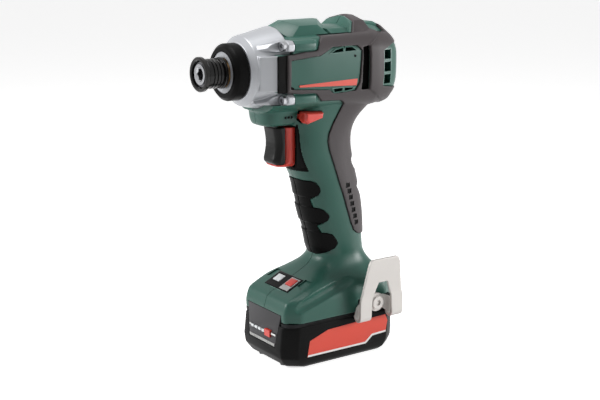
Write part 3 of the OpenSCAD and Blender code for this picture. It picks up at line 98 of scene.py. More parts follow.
# helpers: curves through given rows
def smoothRows(rows, steps):
    out = []
    for i in range(len(rows) - 1):
        a, b, c, d = rows[max(i - 1, 0)], rows[i], rows[i + 1], rows[min(i + 2, len(rows) - 1)]
        for s in range(steps):
            t = s / steps
            out.append(tuple(0.5 * (2 * q + (r - p) * t + (2 * p - 5 * q + 4 * r - u) * t * t
                                    + (3 * q - p - 3 * r + u) * t ** 3) for p, q, r, u in zip(a, b, c, d)))
    return out + [tuple(rows[-1])]


def superRing(front, back, halfWidth, power, z, cut=2.0, count=96):
    ring = []
    for i in range(count):
        angle = 2 * math.pi * i / count
        u = math.copysign(abs(math.cos(angle)) ** (2 / power), math.cos(angle))
        v = math.copysign(abs(math.sin(angle)) ** (2 / power), math.sin(angle))
        squash = max(1, (abs(u) + abs(v)) / cut)  # cut below 2 chamfers the corners
        ring.append(((front + back) / 2 + (front - back) / 2 * u / squash, halfWidth * v / squash, z))
    return ring


def grownOutline(points, grow):
    area = sum(a[0] * b[1] - b[0] * a[1] for a, b in zip(points, points[1:] + points[:1]))
    side = 1 if area > 0 else -1
    out = []
    for i, p in enumerate(points):
        before = Vector(p) - Vector(points[i - 1])
        after = Vector(points[(i + 1) % len(points)]) - Vector(p)
        n1 = Vector((before.y, -before.x)).normalized() * side
        n2 = Vector((after.y, -after.x)).normalized() * side
        mid = (n1 + n2).normalized()
        out.append(tuple(Vector(p) + mid * grow / max(0.5, mid.dot(n1))))
    return out


# helpers: solids
def loft(name, rings):
    clearSelection()
    bpy.ops.mesh.primitive_grid_add(x_subdivisions=len(rings[0]), y_subdivisions=len(rings) - 1,
                                    calc_uvs=False)
    piece = named(name)
    placePoints(piece, [point for ring in rings for point in list(ring) + [ring[0]]])
    openMesh(piece)
    bpy.ops.mesh.remove_doubles(threshold=weld)
    bpy.ops.mesh.fill_holes(sides=0)
    closeMesh()
    return piece


def prism(name, outline, y0, y1):
    clearSelection()
    bpy.ops.mesh.primitive_circle_add(vertices=len(outline), fill_type="NGON", calc_uvs=False)
    piece = named(name)
    placePoints(piece, [(x, y0, z) for x, z in outline])
    openMesh(piece)
    bpy.ops.mesh.extrude_region_move(TRANSFORM_OT_translate={"value": (0, y1 - y0, 0)})
    closeMesh()
    return piece


def crossY(name, sections):  # faceted form through (y values, outline of x and z)
    return loft(name, [[(x, y, z) for x, z in outline] for ys, outline in sections for y in ys])


def alongX(name, outline, x0, x1):  # prism of a (y, z) outline
    return loft(name, [[(x0, y, z) for y, z in outline], [(x1, y, z) for y, z in outline]])


def block(name, low, high, bevel=0.0):
    clearSelection()
    middle = [(a + b) / 2 for a, b in zip(low, high)]
    size = [b - a for a, b in zip(low, high)]
    bpy.ops.mesh.primitive_cube_add(size=1, location=middle, scale=size, calc_uvs=False)
    piece = applyPlace(named(name))
    if bevel:
        openMesh(piece)
        bpy.ops.mesh.bevel(offset=bevel, segments=3, affect="EDGES")
        closeMesh()
    return piece


def rod(name, start, along, length, radius, sides=48):
    clearSelection()
    turn = {"x": (0, math.pi / 2, 0), "y": (math.pi / 2, 0, 0), "z": (0, 0, 0)}[along]
    step = {"x": (1, 0, 0), "y": (0, 1, 0), "z": (0, 0, 1)}[along]
    middle = [s + d * length / 2 for s, d in zip(start, step)]
    bpy.ops.mesh.primitive_cylinder_add(vertices=sides, radius=radius, depth=abs(length), location=middle,
                                        rotation=turn, calc_uvs=False)
    return applyPlace(named(name))


def spun(name, profile, steps=96):  # closed profile of (x, radius) round the drive's axis
    clearSelection()
    bpy.ops.mesh.primitive_circle_add(vertices=len(profile), fill_type="NOTHING", calc_uvs=False)
    piece = named(name)
    placePoints(piece, [(x, 0, axisZ + radius) for x, radius in profile])
    openMesh(piece)
    bpy.ops.mesh.spin(steps=steps, angle=2 * math.pi, center=(0, 0, axisZ), axis=(1, 0, 0))
    bpy.ops.mesh.select_all(action="SELECT")
    bpy.ops.mesh.remove_doubles(threshold=weld)
    closeMesh()
    return piece


def carve(target, *cutters, how="DIFFERENCE"):
    for cutter in cutters:
        modify(target, "BOOLEAN", operation=how, solver="MANIFOLD", object=cutter)
        bpy.data.objects.remove(cutter, do_unlink=True)
    return target


def fuse(first, *others):
    return carve(first, *others, how="UNION")


def within(first, *limits):
    return carve(first, *limits, how="INTERSECT")


def soften(piece, voxel, rounds, keep=1.0):  # remesh, rounds of smoothing, share of the faces kept
    modify(piece, "REMESH", mode="VOXEL", voxel_size=voxel)
    modify(piece, "SMOOTH", factor=0.5, iterations=rounds)
    if keep < 1:
        modify(piece, "DECIMATE", ratio=keep)
    return piece


def rounded(piece, width, segments=2, angle=20):  # rounds the crisp edges of a faceted form
    return modify(piece, "BEVEL", width=width, segments=segments, limit_method="ANGLE",
                  angle_limit=math.radians(angle))


def copied(piece, name):
    pick(piece)
    bpy.ops.object.duplicate(linked=False)
    return named(name)


def mirrored(piece, name):
    twin = copied(piece, name)
    twin.scale = (1, -1, 1)
    openMesh(applyPlace(twin))
    closeMesh()
    return twin


def halved(piece):
    return within(piece, block("halfRoom", (-200, seamHalf, -50), (200, 200, 400)))


def settle(piece, body, slot, nodes=(), angle=35, finish=None, second=None, where=None):
    piece.data.materials.clear()
    piece.data.materials.append(finish or finishes[slot])
    if second:  # a second finish on the faces whose centre passes where
        piece.data.materials.append(second)
        for face in piece.data.polygons:
            face.material_index = int(where(face.center))
    piece.scale = (0.001, 0.001, 0.001)
    applyPlace(piece)
    bpy.ops.object.shade_smooth_by_angle(angle=math.radians(angle))
    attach(piece, body)
    if nodes:
        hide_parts(*nodes)
    return piece


# finishes: shared effects as node groups, then one material per slot
def paint(r, g, b):
    channels = [c / 255 for c in (r, g, b)]
    return tuple(c / 12.92 if c <= 0.04045 else ((c + 0.055) / 1.055) ** 2.4 for c in channels) + (1,)


def newGroup(name, inputs, outputs):
    group = bpy.data.node_groups.new(name, "ShaderNodeTree")
    for socket in inputs:
        group.interface.new_socket(name=socket, in_out="INPUT", socket_type="NodeSocketFloat")
    for socket in outputs:
        group.interface.new_socket(name=socket, in_out="OUTPUT", socket_type="NodeSocketFloat")
    return group, group.nodes.new("NodeGroupInput"), group.nodes.new("NodeGroupOutput")


def addNode(tree, kind, **values):
    node = tree.nodes.new(kind)
    for key, value in values.items():
        setattr(node, key, value)
    return node


def setInputs(node, **values):  # a socket's name is written without its spaces
    for socket in node.inputs:
        key = socket.name.replace(" ", "")
        if key in values and socket.enabled:
            socket.default_value = values[key]
    return node


def mathNode(tree, operation, a, b):
    node = addNode(tree, "ShaderNodeMath", operation=operation)
    for socket, value in zip(node.inputs, (a, b)):
        if isinstance(value, (int, float)):
            socket.default_value = value
        else:
            tree.links.new(value, socket)
    return node.outputs[0]


def buildGrainGroup():  # fine moulding grain and broad tone drift
    group, given, result = newGroup("mouldingGrain", ["Fine"], ["Height", "Tone"])
    place = addNode(group, "ShaderNodeTexCoord")
    fine = setInputs(addNode(group, "ShaderNodeTexNoise"), Detail=3)
    broad = setInputs(addNode(group, "ShaderNodeTexNoise"), Detail=4, Scale=30)
    for texture, socket in ((fine, "Height"), (broad, "Tone")):
        group.links.new(place.outputs["Object"], texture.inputs["Vector"])
        group.links.new(texture.outputs["Fac"], result.inputs[socket])
    group.links.new(given.outputs["Fine"], fine.inputs["Scale"])
    return group


def buildEdgeHighlightGroup():  # painted edge highlight: lighter colour on the raised edges
    group, _, result = newGroup("paintedEdgeHighlight", [], ["Mask"])
    shape = addNode(group, "ShaderNodeNewGeometry")
    place = addNode(group, "ShaderNodeTexCoord")
    patch = setInputs(addNode(group, "ShaderNodeTexNoise"), Scale=160)
    group.links.new(place.outputs["Object"], patch.inputs["Vector"])
    ramp = setInputs(addNode(group, "ShaderNodeMapRange"), FromMin=0.53, FromMax=0.6)
    group.links.new(shape.outputs["Pointiness"], ramp.inputs["Value"])
    mask = mathNode(group, "MULTIPLY", ramp.outputs["Result"], patch.outputs["Fac"])
    group.links.new(mask, result.inputs["Mask"])
    return group


grainGroup = buildGrainGroup()
edgeHighlightGroup = buildEdgeHighlightGroup()


def makeFinish(name, look):
    finish = bpy.data.materials.new(name)
    finish.use_nodes = True
    tree = finish.node_tree
    join = tree.links.new
    shader = setInputs(tree.nodes["Principled BSDF"], Metallic=look.get("metal", 0),
                       CoatWeight=look.get("coat", 0),
                       CoatRoughness=0.25, SpecularIORLevel=look.get("gloss", 0.5))
    grain = setInputs(addNode(tree, "ShaderNodeGroup", node_tree=grainGroup), Fine=look["fine"])
    base, tone = paint(*look["colour"])[:3], look.get("tone", 0.1)
    shade = setInputs(addNode(tree, "ShaderNodeMix", data_type="RGBA"),
                      A=[c * (1 - tone) for c in base] + [1],
                      B=[min(1, c * (1 + tone)) for c in base] + [1])
    join(grain.outputs["Tone"], shade.inputs["Factor"])
    colour = shade.outputs["Result"]
    # painted edge highlight: the raised edges take a lighter colour
    if look.get("rub"):
        rub = addNode(tree, "ShaderNodeGroup", node_tree=edgeHighlightGroup)
        highlighted = setInputs(addNode(tree, "ShaderNodeMix", data_type="RGBA"), B=paint(*look["rub"]))
        join(rub.outputs["Mask"], highlighted.inputs["Factor"])
        join(colour, highlighted.inputs["A"])
        colour = highlighted.outputs["Result"]
    join(colour, shader.inputs["Base Color"])
    spread = 0.05  # how far the roughness drifts
    rough = setInputs(addNode(tree, "ShaderNodeMapRange"), ToMin=look["rough"] - spread,
                      ToMax=look["rough"] + spread)
    join(grain.outputs["Tone"], rough.inputs["Value"])
    join(rough.outputs["Result"], shader.inputs["Roughness"])
    bump = setInputs(addNode(tree, "ShaderNodeBump"), Strength=look["bump"], Distance=0.0001)
    join(grain.outputs["Height"], bump.inputs["Height"])
    join(bump.outputs["Normal"], shader.inputs["Normal"])
    return finish


# rub colours are painted highlights on the raised edges
looks = {
    "green_plastic": dict(colour=(42, 86, 75), rough=0.36, fine=2600, bump=0.1, rub=(110, 146, 137),
                          gloss=0.3),
    "soft_grip": dict(colour=(70, 65, 66), rough=0.5, fine=3000, bump=0.2, gloss=0.2, tone=0.08),
    "finger_rubber": dict(colour=(9, 9, 9), rough=0.4, fine=2200, bump=0.18, gloss=0.05),
    "cast_metal": dict(colour=(168, 170, 174), rough=0.38, metal=0.4, fine=2400, bump=0.3, tone=0.06),
    "steel": dict(colour=(160, 161, 164), rough=0.28, metal=1, fine=3200, bump=0.08),
    "dark_steel": dict(colour=(88, 88, 91), rough=0.36, metal=1, fine=2400, bump=0.12),
    "black_steel": dict(colour=(8, 8, 8), rough=0.2, fine=2600, bump=0.05, rub=(60, 58, 56), gloss=0.25),
    "bronze": dict(colour=(168, 128, 74), rough=0.4, metal=1, fine=1600, bump=0.2),
    "lamination": dict(colour=(110, 112, 116), rough=0.45, metal=0.9, fine=900, bump=0.3),
    "copper": dict(colour=(178, 102, 60), rough=0.35, metal=0.9, fine=1500, bump=0.25),
    "board": dict(colour=(24, 84, 52), rough=0.45, fine=700, bump=0.2, coat=0.3),
    "black_plastic": dict(colour=(12, 12, 12), rough=0.36, fine=2600, bump=0.1, gloss=0.14),
    "contact": dict(colour=(200, 172, 96), rough=0.3, metal=1, fine=2600, bump=0.06),
    "lens": dict(colour=(226, 230, 232), rough=0.2, coat=0.4, fine=900, bump=0.08, tone=0.04),
    "hook_steel": dict(colour=(206, 202, 198), rough=0.5, metal=0.2, fine=2800, bump=0.25, tone=0.05,
                       gloss=0.3),
    "red_plastic": dict(colour=(216, 62, 50), rough=0.32, fine=2600, bump=0.1, gloss=0.5),
    "pack_plastic": dict(colour=(14, 14, 14), rough=0.4, fine=2400, bump=0.16, rub=(54, 54, 56),
                         gloss=0.06),
    "cell_wrap": dict(colour=(46, 74, 138), rough=0.3, fine=500, bump=0.04, coat=0.3)}
finishes = {slot: makeFinish(slot + "Finish", look) for slot, look in looks.items()}
# near-black finish: painted shade in the seam, the gap liner, the label groove and the trigger opening;
# also the ink of the label dot and turn signs
paintedShadeAndInk = makeFinish("paintedShadeAndInk", dict(colour=(10, 10, 10), rough=0.7, fine=1500, bump=0.1, gloss=0.05))
panelBlack = makeFinish("panelBlack", dict(colour=(6, 6, 6), rough=0.28, fine=2600, bump=0.05, gloss=0.06))
plateGrey = makeFinish("plateGrey", dict(colour=(62, 61, 63), rough=0.45, fine=2600, bump=0.1, gloss=0.2))
redPrint = makeFinish("redPrint", dict(colour=(214, 66, 46), rough=0.4, fine=2600, bump=0.06, tone=0.05))
ink = dict(rough=0.45, fine=2600, bump=0.06)
whitePrint = makeFinish("whitePrint", dict(ink, colour=(236, 236, 234), tone=0.03))
greyPrint = makeFinish("greyPrint", dict(ink, colour=(176, 176, 174), tone=0.04))
print("finishes made:", len(finishes))


# head: stations from the tail to the cheeks (x, half width, height above the axis, depth below it)
head = {
    "stations": [(-48, 10.4, 9.7, 10.4), (-46.4, 15.4, 14.2, 15.3), (-43.2, 20.1, 18.4, 20.2),
                 (-37.4, 23.6, 21.8, 23.7), (-26.2, 26, 24.4, 25.5), (-20, 26.5, 25, 25.5),
                 (-8, 26.5, 25, 25.5), (8, 26.5, 25, 25.5), (24, 26.5, 25, 25.5), (36.5, 26.1, 24.8, 25),
                 (49, 25.7, 24.6, 24.5)],
    "section": [(0.4, -1), (0.74, -0.87), (0.94, -0.63), (1, -0.3), (1, 0.27), (0.96, 0.52), (0.82, 0.74)],
    "crown": [(0.6, 0.885), (0.3, 1)], "flat": [(0.6, 0.79), (0.3, 0.8)], "flatFrom": -27, "flatTo": -19,
    "cheekFront": 48, "cheekSet": 0.8, "cheekHigh": 10.6, "cheekLow": -11, "cheekFoot": -15.2,
    "cheekGap": 0.6, "joint": 36.5, "bore": 22.8, "boreBack": -43, "boreFront": 42.5,
    "noseRoom": [(36.5, 0.01), (36.5, 25.5), (62, 20.3), (62, 0.01)]}


def headLoft(name, grow):
    rings = []
    for x, half, up, down in smoothRows(head["stations"], 3):
        flat = min(1, max(0, (x - head["flatFrom"]) / (head["flatTo"] - head["flatFrom"])))
        top = [(w, h + flat * (low - h)) for (w, h), (_, low) in zip(head["crown"], head["flat"])]
        left = head["section"] + top
        closed = left + [(-w, h) for w, h in reversed(left)]
        closed = smoothRows(closed + closed[:1], 5)[:-1]
        end = grow if x < head["stations"][0][0] + 0.1 else 0
        rings.append([(x - end, w * (half + grow), axisZ + h * ((up if h > 0 else down) + grow))
                      for w, h in closed])
    return loft(name, rings)


# handle and base: levels (z, front, back, half width, squareness, corner cut)
grip = {
    "levels": [(30.3, 41.5, -41, 28, 20, 1.79), (35.5, 41.8, -41, 28, 20, 1.79),
               (41, 40.4, -40.4, 27.6, 20, 1.79), (43.8, 38.2, -39.6, 27, 18, 1.8),
               (46.9, 32.2, -39, 26, 12, 1.82), (51.3, 23.2, -36.9, 23.7, 6.5, 1.86),
               (54.4, 16.4, -34.9, 21.1, 4.6, 1.92), (59, 8.6, -31.6, 18, 3.2, 2),
               (64.3, 5.5, -29.3, 16.3, 2.5, 2), (70, 7.4, -28.8, 16.1, 2.3, 2),
               (77.4, 9.3, -28.7, 16.1, 2.2, 2), (86, 12.2, -28.4, 16.3, 2.2, 2),
               (95.7, 15, -27.3, 16.5, 2.2, 2), (104, 16.8, -25.5, 16.7, 2.2, 2),
               (112, 18.5, -23.4, 16.8, 2.2, 2), (120, 21.9, -21, 16.8, 2.3, 2),
               (128.1, 25.2, -18.7, 16.8, 2.5, 2), (136, 26.7, -17, 17, 2.7, 2),
               (144, 27.2, -17.6, 17.3, 2.8, 2), (151, 28.3, -21.3, 18, 2.9, 2),
               (158, 29.5, -29.1, 19, 3, 2), (166, 29.5, -39, 21, 3, 2)],
    "wall": 2.4, "shoeMouth": [(0, -18.7, 0), (90, 18.7, 35)],
    "padRoom": [(-35.6, 21.6, 31.4), (-9.9, 60, 38.4)]}


def gripLoft(name, grow, drop=0):
    return loft(name, [superRing(f + grow, b - grow, w + grow, n, z - drop, cut)
                       for z, f, b, w, n, cut in smoothRows(grip["levels"], 3)])


# hood over the trigger: levels (z, back, front, half width, squareness)
chin = {"levels": [(150.1, 20.5, 45.5, 10.2, 3), (151.4, 19.7, 46.9, 11.9, 3), (156, 18.5, 47.6, 13.2, 3.2),
                   (168.2, 16.4, 48, 14.9, 3.4)]}


def chinLoft(name, grow, lift=0):
    return loft(name, [superRing(f + grow, b - grow, w + grow, n, z + lift)
                       for z, b, f, w, n in smoothRows(chin["levels"], 4)])


def rawBody(name, grow):
    return fuse(headLoft(name, grow), gripLoft("gripPart", grow))


# outlines seen from the side (x, z): rubber, label field, tail field, finger grip
rubber = {
    "outline": [(50, 172.5), (50, 193.6), (38, 194.3), (20.7, 196.5), (16.5, 201.3), (13.8, 203.2),
                (-10.7, 203.3), (-19.2, 216), (-23, 216), (-23.3, 206.1), (-29.5, 203.2), (-35, 202.6),
                (-37, 216), (-62, 216), (-62, 152), (-57, 137), (-37, 76.4), (-21.9, 76.4), (-18.2, 77.4),
                (-14.9, 79.9), (-11.9, 86.3), (-7, 100.7), (-2.5, 112.6), (1.9, 125.1), (5, 133.1),
                (6.4, 138.8), (5.7, 143.6), (2.9, 150.3), (0.1, 155.2), (-2.9, 161.6), (1.6, 164.6),
                (16.3, 165.4), (20.5, 169.2), (37.2, 171.7)],
    "label": [(39.5, 174.1), (39.2, 190.9), (18.6, 192.5), (9.6, 196.9), (-8.3, 196.9), (-11.9, 193.8),
              (-10.1, 174.8), (-7.4, 169.9), (8.7, 169.3), (12.2, 171.8)],
    "tail": [(-28.3, 192.8), (-37, 196.1), (-58, 196.5), (-58, 168.8), (-40.5, 169.2), (-28.1, 171)],
    "groove": [(-12.6, 195.6), (-17.5, 196.4), (-17.5, 170), (-11.6, 170)],
    "bumper": [(-17.7, 196.6), (-34.5, 206.5), (-37.5, 208), (-37.5, 157), (-36, 158), (-17.7, 169.8)],
    "bumperSkin": 1.6, "smooth": (0.42, 2, 0.8),
    "cap": [((seamHalf, 2.9), [(-28, 197), (-10.8, 197), (-10.8, 203), (-17.2, 212.8), (-22, 212.8),
                               (-27.6, 205)]),
            ((12.9,), [(-28, 197), (-10.8, 197), (-10.8, 203), (-15.5, 210.3), (-22.4, 210.3),
                       (-27, 204.6)]),
            ((18.4,), [(-27, 197), (-10.8, 197), (-10.8, 203), (-11.1, 203.6), (-24.8, 203.6),
                       (-25.6, 203)])],
    "capEdge": 0.5, "grooveFloor": 24.1, "cheek": 41.5, "cheekHalf": 25.8, "cheekGap": 0.2, "skin": 0.9,
    "floor": 0.6, "overlap": 0.1, "gap": 0.4, "end": -42.4, "leverGap": 1.2, "boxGap": 0.5,
    "boxRows": [(60, 27.4, 0), (22.4, 27.4, 0), (16.6, 23.1, 1.2)], "markTop": 115,
    "marks": 7, "markFrom": (-9.2, 109.8), "markTo": (-16.8, 85), "markSize": (1.7, 1.05), "markSlant": 0.4,
    "markDeep": 0.5, "arrowDeep": 1,
    "arrows": [[(-17.1, 127.6), (-12.8, 124.5), (-18.1, 118.2), (-24, 117.2), (-22, 127)],
               [(-22.8, 110.8), (-18.7, 107.3), (-24.1, 100.1), (-29, 99.5), (-27, 110)]],
    "notches": [(-27.5, 153.4), (-21.9, 147.6), (-19, 140.2)],
    "notch": [(-9, 2.2), (3.2, 0), (-9, -2.2)]}

fingerGrip = {
    "outline": [(37, 118.5), (22.8, 115.9), (18.1, 114.2), (14.7, 114), (12.1, 112.8), (10.1, 109.8),
                (9.5, 107.6), (10.3, 105.1), (12.1, 103.6), (13.4, 102.2), (13.2, 100.9), (11.8, 96.6),
                (9, 96.2), (6.9, 95.2), (4.2, 92.6), (3.1, 90.7), (3.9, 88.5), (6.7, 86.3), (8.5, 84.7),
                (7.7, 82.8), (6.1, 79.9), (3.1, 79.6), (0.5, 78.7), (-2, 75.3), (-3, 73), (-1.5, 70.2),
                (1.7, 68), (4.3, 66.2), (6, 64.6), (37, 64.6)],
    "lobes": [(119, 104.6), (97, 87.4), (80.4, 60)], "skin": -0.15, "lobe": 0.5, "floor": 0.9,
    "overlap": 0.1, "gap": 0.35,
    "reach": 40, "smooth": (0.34, 2, 0.8), "triggerRoom": [(10, -1, 122.4), (60, 40, 160)]}

# vents: slots round the label and the three windows in the tail
vents = {
    "slots": [[(11.1, 193.3), (7.2, 195.1), (2.1, 196), (2.1, 193.8)],
              [(0.8, 193.9), (0, 196.1), (-4.7, 196), (-7.5, 194)],
              [(9.1, 172), (2.4, 172.3), (2.6, 170.5), (8, 170.1)],
              [(1, 170.3), (0.6, 172.2), (-6, 171.8), (-4.4, 170.9)]],
    "windows": [(187, 192.6), (179.4, 185.2), (172, 177.6)], "windowBack": -35.4, "windowFront": -29.6,
    "rim": 0.8, "rimRise": 0.4, "rimFrom": 18, "slotFrom": 6, "reach": 40}

# ridge on the head: outlines (x, z) at steps across the left half
ridges = {
    "front": [((-2, 2.5), [(1, 195), (36.5, 195), (36.5, 208.6), (29.3, 211.6), (4.6, 211.6), (1, 208.2)]),
              ((12,), [(4.6, 195), (35, 195), (35, 204.5), (23.7, 208.9), (10.6, 208.9), (4.6, 204)]),
              ((16.2,), [(3.3, 195), (32.4, 195), (32.4, 202), (32.3, 202.1), (3.4, 202.1), (3.3, 202)])],
    "mid": [((-2, 2.5), [(-13, 195), (8, 195), (8, 207.6), (-13, 207.6)]),
            ((12,), [(-11, 195), (4, 195), (4, 206.2), (-11, 206.2)]),
            ((16.6,), [(-9, 195), (2.6, 195), (2.6, 202.8), (-9, 202.8)])],
    "rear": [((-2, 2.5), [(-27, 195), (-8.6, 195), (-8.6, 203.2), (-15.2, 212.1), (-21, 212.1),
                          (-26, 205)]),
             ((12.3,), [(-27, 195), (-8.6, 195), (-8.6, 203.2), (-13.4, 209.6), (-21, 209.6),
                        (-25.6, 204)]),
             ((17.5,), [(-26, 195), (-8.6, 195), (-8.6, 203), (-8.8, 203.1), (-23.5, 203.1),
                        (-24.5, 202.8)])],
    "tail": [(200, -42, -20, 14), (205.5, -38.5, -20, 10.5), (208.6, -33.5, -20, 8)],
    "tailSlot": [(-28.5, 2.4, 207), (-25.8, 7.4, 214)], "edge": 0.4}
# boxes for the nose screws: upper and lower (top, bottom), then (x, outer half width, drop of the top)
bosses = {"upper": (202.2, 195.8), "lower": (171.4, 165),
          "rows": [(37.2, 27.2, 0), (22.4, 27.2, 0), (17.2, 23, 1.4)],
          "kept": 0.2, "lugRows": [(36.9, 27.2, 0), (70, 27.2, 0)], "lugGap": 0.25}
bossPlaces = ("upper", "lower")
# trigger: dark finger face on a red frame, in rows of (z, front, half width)
trigger = {"face": [(125.2, 35.6, 7.4), (125.8, 37.2, 8), (127.2, 38.4, 8.4), (129, 38.4, 8.5),
                    (132, 37.6, 8.5), (136, 36.9, 8.5), (139, 36.8, 8.5), (142, 37.1, 8.5),
                    (145, 37.6, 8.5), (147.4, 38.1, 8.5), (148.3, 38.2, 8.5)], "faceBack": 31.6,
           "frame": [(123.9, 34, 6.4), (124.3, 36, 7.3), (125, 36.8, 8.1), (125.7, 36.2, 8.6),
                     (126.2, 33.8, 8.9), (127.4, 32.6, 9.1), (131, 31.9, 9.2), (138, 31.6, 9.2),
                     (144, 31.9, 9.2), (148.3, 32.4, 9.2)],
           "frameBack": 24.7, "round": 14, "bow": 0.5, "flat": 0.55, "stem": (14.1, 136.4, 3),
           "stemLong": 12, "smoothFace": (0.28, 3, 0.7), "smoothFrame": (0.3, 3, 0.7)}
# opening for the trigger, its collar and the wall behind it; collar and wall take painted shade
opening = {"half": 12.1, "low": 122.5, "high": 149.2, "corner": 8, "back": 17.1, "wall": 0.8,
           "wallHalf": 14.6, "wallLow": 120.5, "wallHigh": 150.5,
           "collar": [(16.3, 10.1, 123), (25.4, 11.7, 148.9)], "stemRoom": 3.6}
# hollow along the base's side under the deck's edge: (x, y, z) of its axis
flute = {"axis": [(47, 30.8, 37), (36, 30.2, 40.2), (24, 29.6, 43.8), (10, 28.6, 47.9), (-6, 27.4, 52.2),
                  (-18, 31.4, 54.6)],
         "reach": 5, "height": 4.6}
# housing halves: softening, and the boxes (both sides) whose faces take painted shade: label groove,
# trigger opening
housing = {"smooth": (0.6, 3), "dark": [[(-17.9, 22, 169.4), (-11.2, 26.2, 197)],
                                               [(16.1, -1, 120.4), (25.6, 12.2, 150.3)]]}
seam = {"inset": 0.7, "slack": 0.03, "liner": [(36.9, 25.7, 173.2), (40.6, 26, 191.8)]}

screws = {"places": [(7.79, 119.61, 10.23), (38.13, 152.74, 7.43), (-4.51, 90.07, 10.23),
                     (-10.25, 68.15, 10.23), (-32.8, 48.39, 17.36), (29.93, 40.12, 20.16)], "head": 3.3}
lever = {"outline": [(25.4, 158.5), (12.3, 157.8), (12.9, 154.3), (23.4, 151.5), (25.6, 153.6)],
         "reach": 21.75, "root": 14.6,
         "slot": 0.6, "slotFrom": 8, "steps": [(-1.6, 0.1), (-0.2, -0.5), (0.2, -1.1)], "rootGrow": 0.1,
         "bar": [(16.5, -16, 153.7), (24.5, 16, 156.7)], "smooth": (0.22, 4)}
deck = {"centre": (27.08, 0, 49.27), "tilt": math.radians(26), "length": 13.33, "half": 12.88,
        "wedge": [(29.7, 47.8), (21, 52.9), (13.6, 50.4), (27.5, 47.6)], "wedgeSides": (13.4, 19),
        "wedgeDeep": 1.9, "gap": 0.15, "deep": 6.6}


def onDeck(piece):  # from flat at the deck's centre to its slope
    piece.location = deck["centre"]
    piece.rotation_euler = (0, deck["tilt"], 0)
    return applyPlace(piece)


def pyramid(name, levels):  # levels: z, x0, x1, half width
    return loft(name, [[(x0, -y, z), (x1, -y, z), (x1, y, z), (x0, y, z)] for z, x0, x1, y in levels])


def boss(name, place, grow=0.0, rows=bosses["rows"], inner=10):
    top, bottom = bosses[place]
    rings = []
    for x, outer, drop in rows:
        high, low = top - drop + grow, bottom - grow
        rings.append([(x, inner, high), (x, outer - 2.4, high), (x, outer + grow, high - 2),
                      (x, outer + grow, low + 0.6), (x, outer - 1.4, low), (x, inner, low)])
    return loft(name, rings)


def fluteLoft():
    rings = []
    for x, y, z in smoothRows(flute["axis"], 3):
        turns = [2 * math.pi * k / 32 for k in range(32)]
        rings.append([(x, y + flute["reach"] * math.cos(a), z + flute["height"] * math.sin(a))
                      for a in turns])
    return loft("flute", rings)


def openingOutline():  # round at its lower corners
    half, low, high, corner = (opening[key] for key in ("half", "low", "high", "corner"))
    arc = [math.pi / 2 * k / 8 for k in range(9)]
    right = [(half - corner + corner * math.cos(a), low + corner - corner * math.sin(a)) for a in arc]
    return [(half, high)] + right + [(-y, z) for y, z in reversed(right)] + [(-half, high)]


def headVents(target):
    x0, x1, reach = vents["windowBack"], vents["windowFront"], vents["reach"]
    windows = [[(x0, low), (x1, low), (x1, high), (x0, high)] for low, high in vents["windows"]]
    shapes = vents["slots"] + windows
    for shape in shapes:
        rim = prism("ventRim", grownOutline(shape, vents["rim"]), vents["rimFrom"], reach)
        fuse(target, within(rim, headLoft("rimTop", vents["rimRise"])))
    return carve(target, *[prism("ventSlot", shape, vents["slotFrom"], reach) for shape in shapes])


def openUp(target):  # what is open in the halves and in the tongue between them
    z, wall, back = axisZ, grip["wall"], head["boreBack"]
    step, foot, top = head["joint"] + head["cheekGap"], z + head["cheekFoot"], z + 80
    carve(target, block("aboveCheek", (step, -far, z + head["cheekHigh"]), (ahead, far, top)),
          block("aheadOfCheek", (head["cheekFront"] - head["cheekSet"], -far, foot), (ahead, far, top)),
          block("belowCheek", (step, -far, foot), (ahead, far, z + head["cheekLow"])))
    hollow = rod("headBore", (back, 0, z), "x", head["boreFront"] - back, head["bore"], 72)
    within(hollow, headLoft("headInside", -wall))
    half, side, deep = deck["length"] / 2 + deck["gap"], deck["half"] + deck["gap"], deck["deep"]
    return carve(target, hollow, spun("noseRoom", head["noseRoom"], 72),
                 gripLoft("gripHollow", -wall, wall), chinLoft("chinHollow", -wall, wall),
                 alongX("triggerOpening", openingOutline(), opening["back"], ahead),
                 onDeck(block("panelWindow", (-half, -side, -deep), (half, side, deep))),
                 block("shoeMouth", *grip["shoeMouth"]))


def makeTongue():  # a near-black sheet between the halves: painted shade in the seam
    tongue = fuse(rawBody("seamTongue", -seam["inset"]), chinLoft("tongueChin", -seam["inset"]))
    half = seamHalf - seam["slack"]
    openUp(within(tongue, block("tongueSlab", (-200, -half, -50), (200, half, 400))))
    liner = block("gapLiner", *seam["liner"])  # a near-black plate under the gap at the label's front: painted shade
    fuse(tongue, mirrored(liner, "linerFar"), liner)
    settle(tongue, "tool", "green_plastic", finish=paintedShadeAndInk)


def settlePair(pieces, nodes, slot, angle, second=None, where=None):
    for piece, node in zip(pieces, nodes):
        settle(piece, "tool", slot, [node], angle, None, second, where)


def inBox(c, box):  # box: low and high corner, y counted from the mid-plane
    return all(low < value < high for low, value, high in zip(box[0], (c.x, abs(c.y), c.z), box[1]))


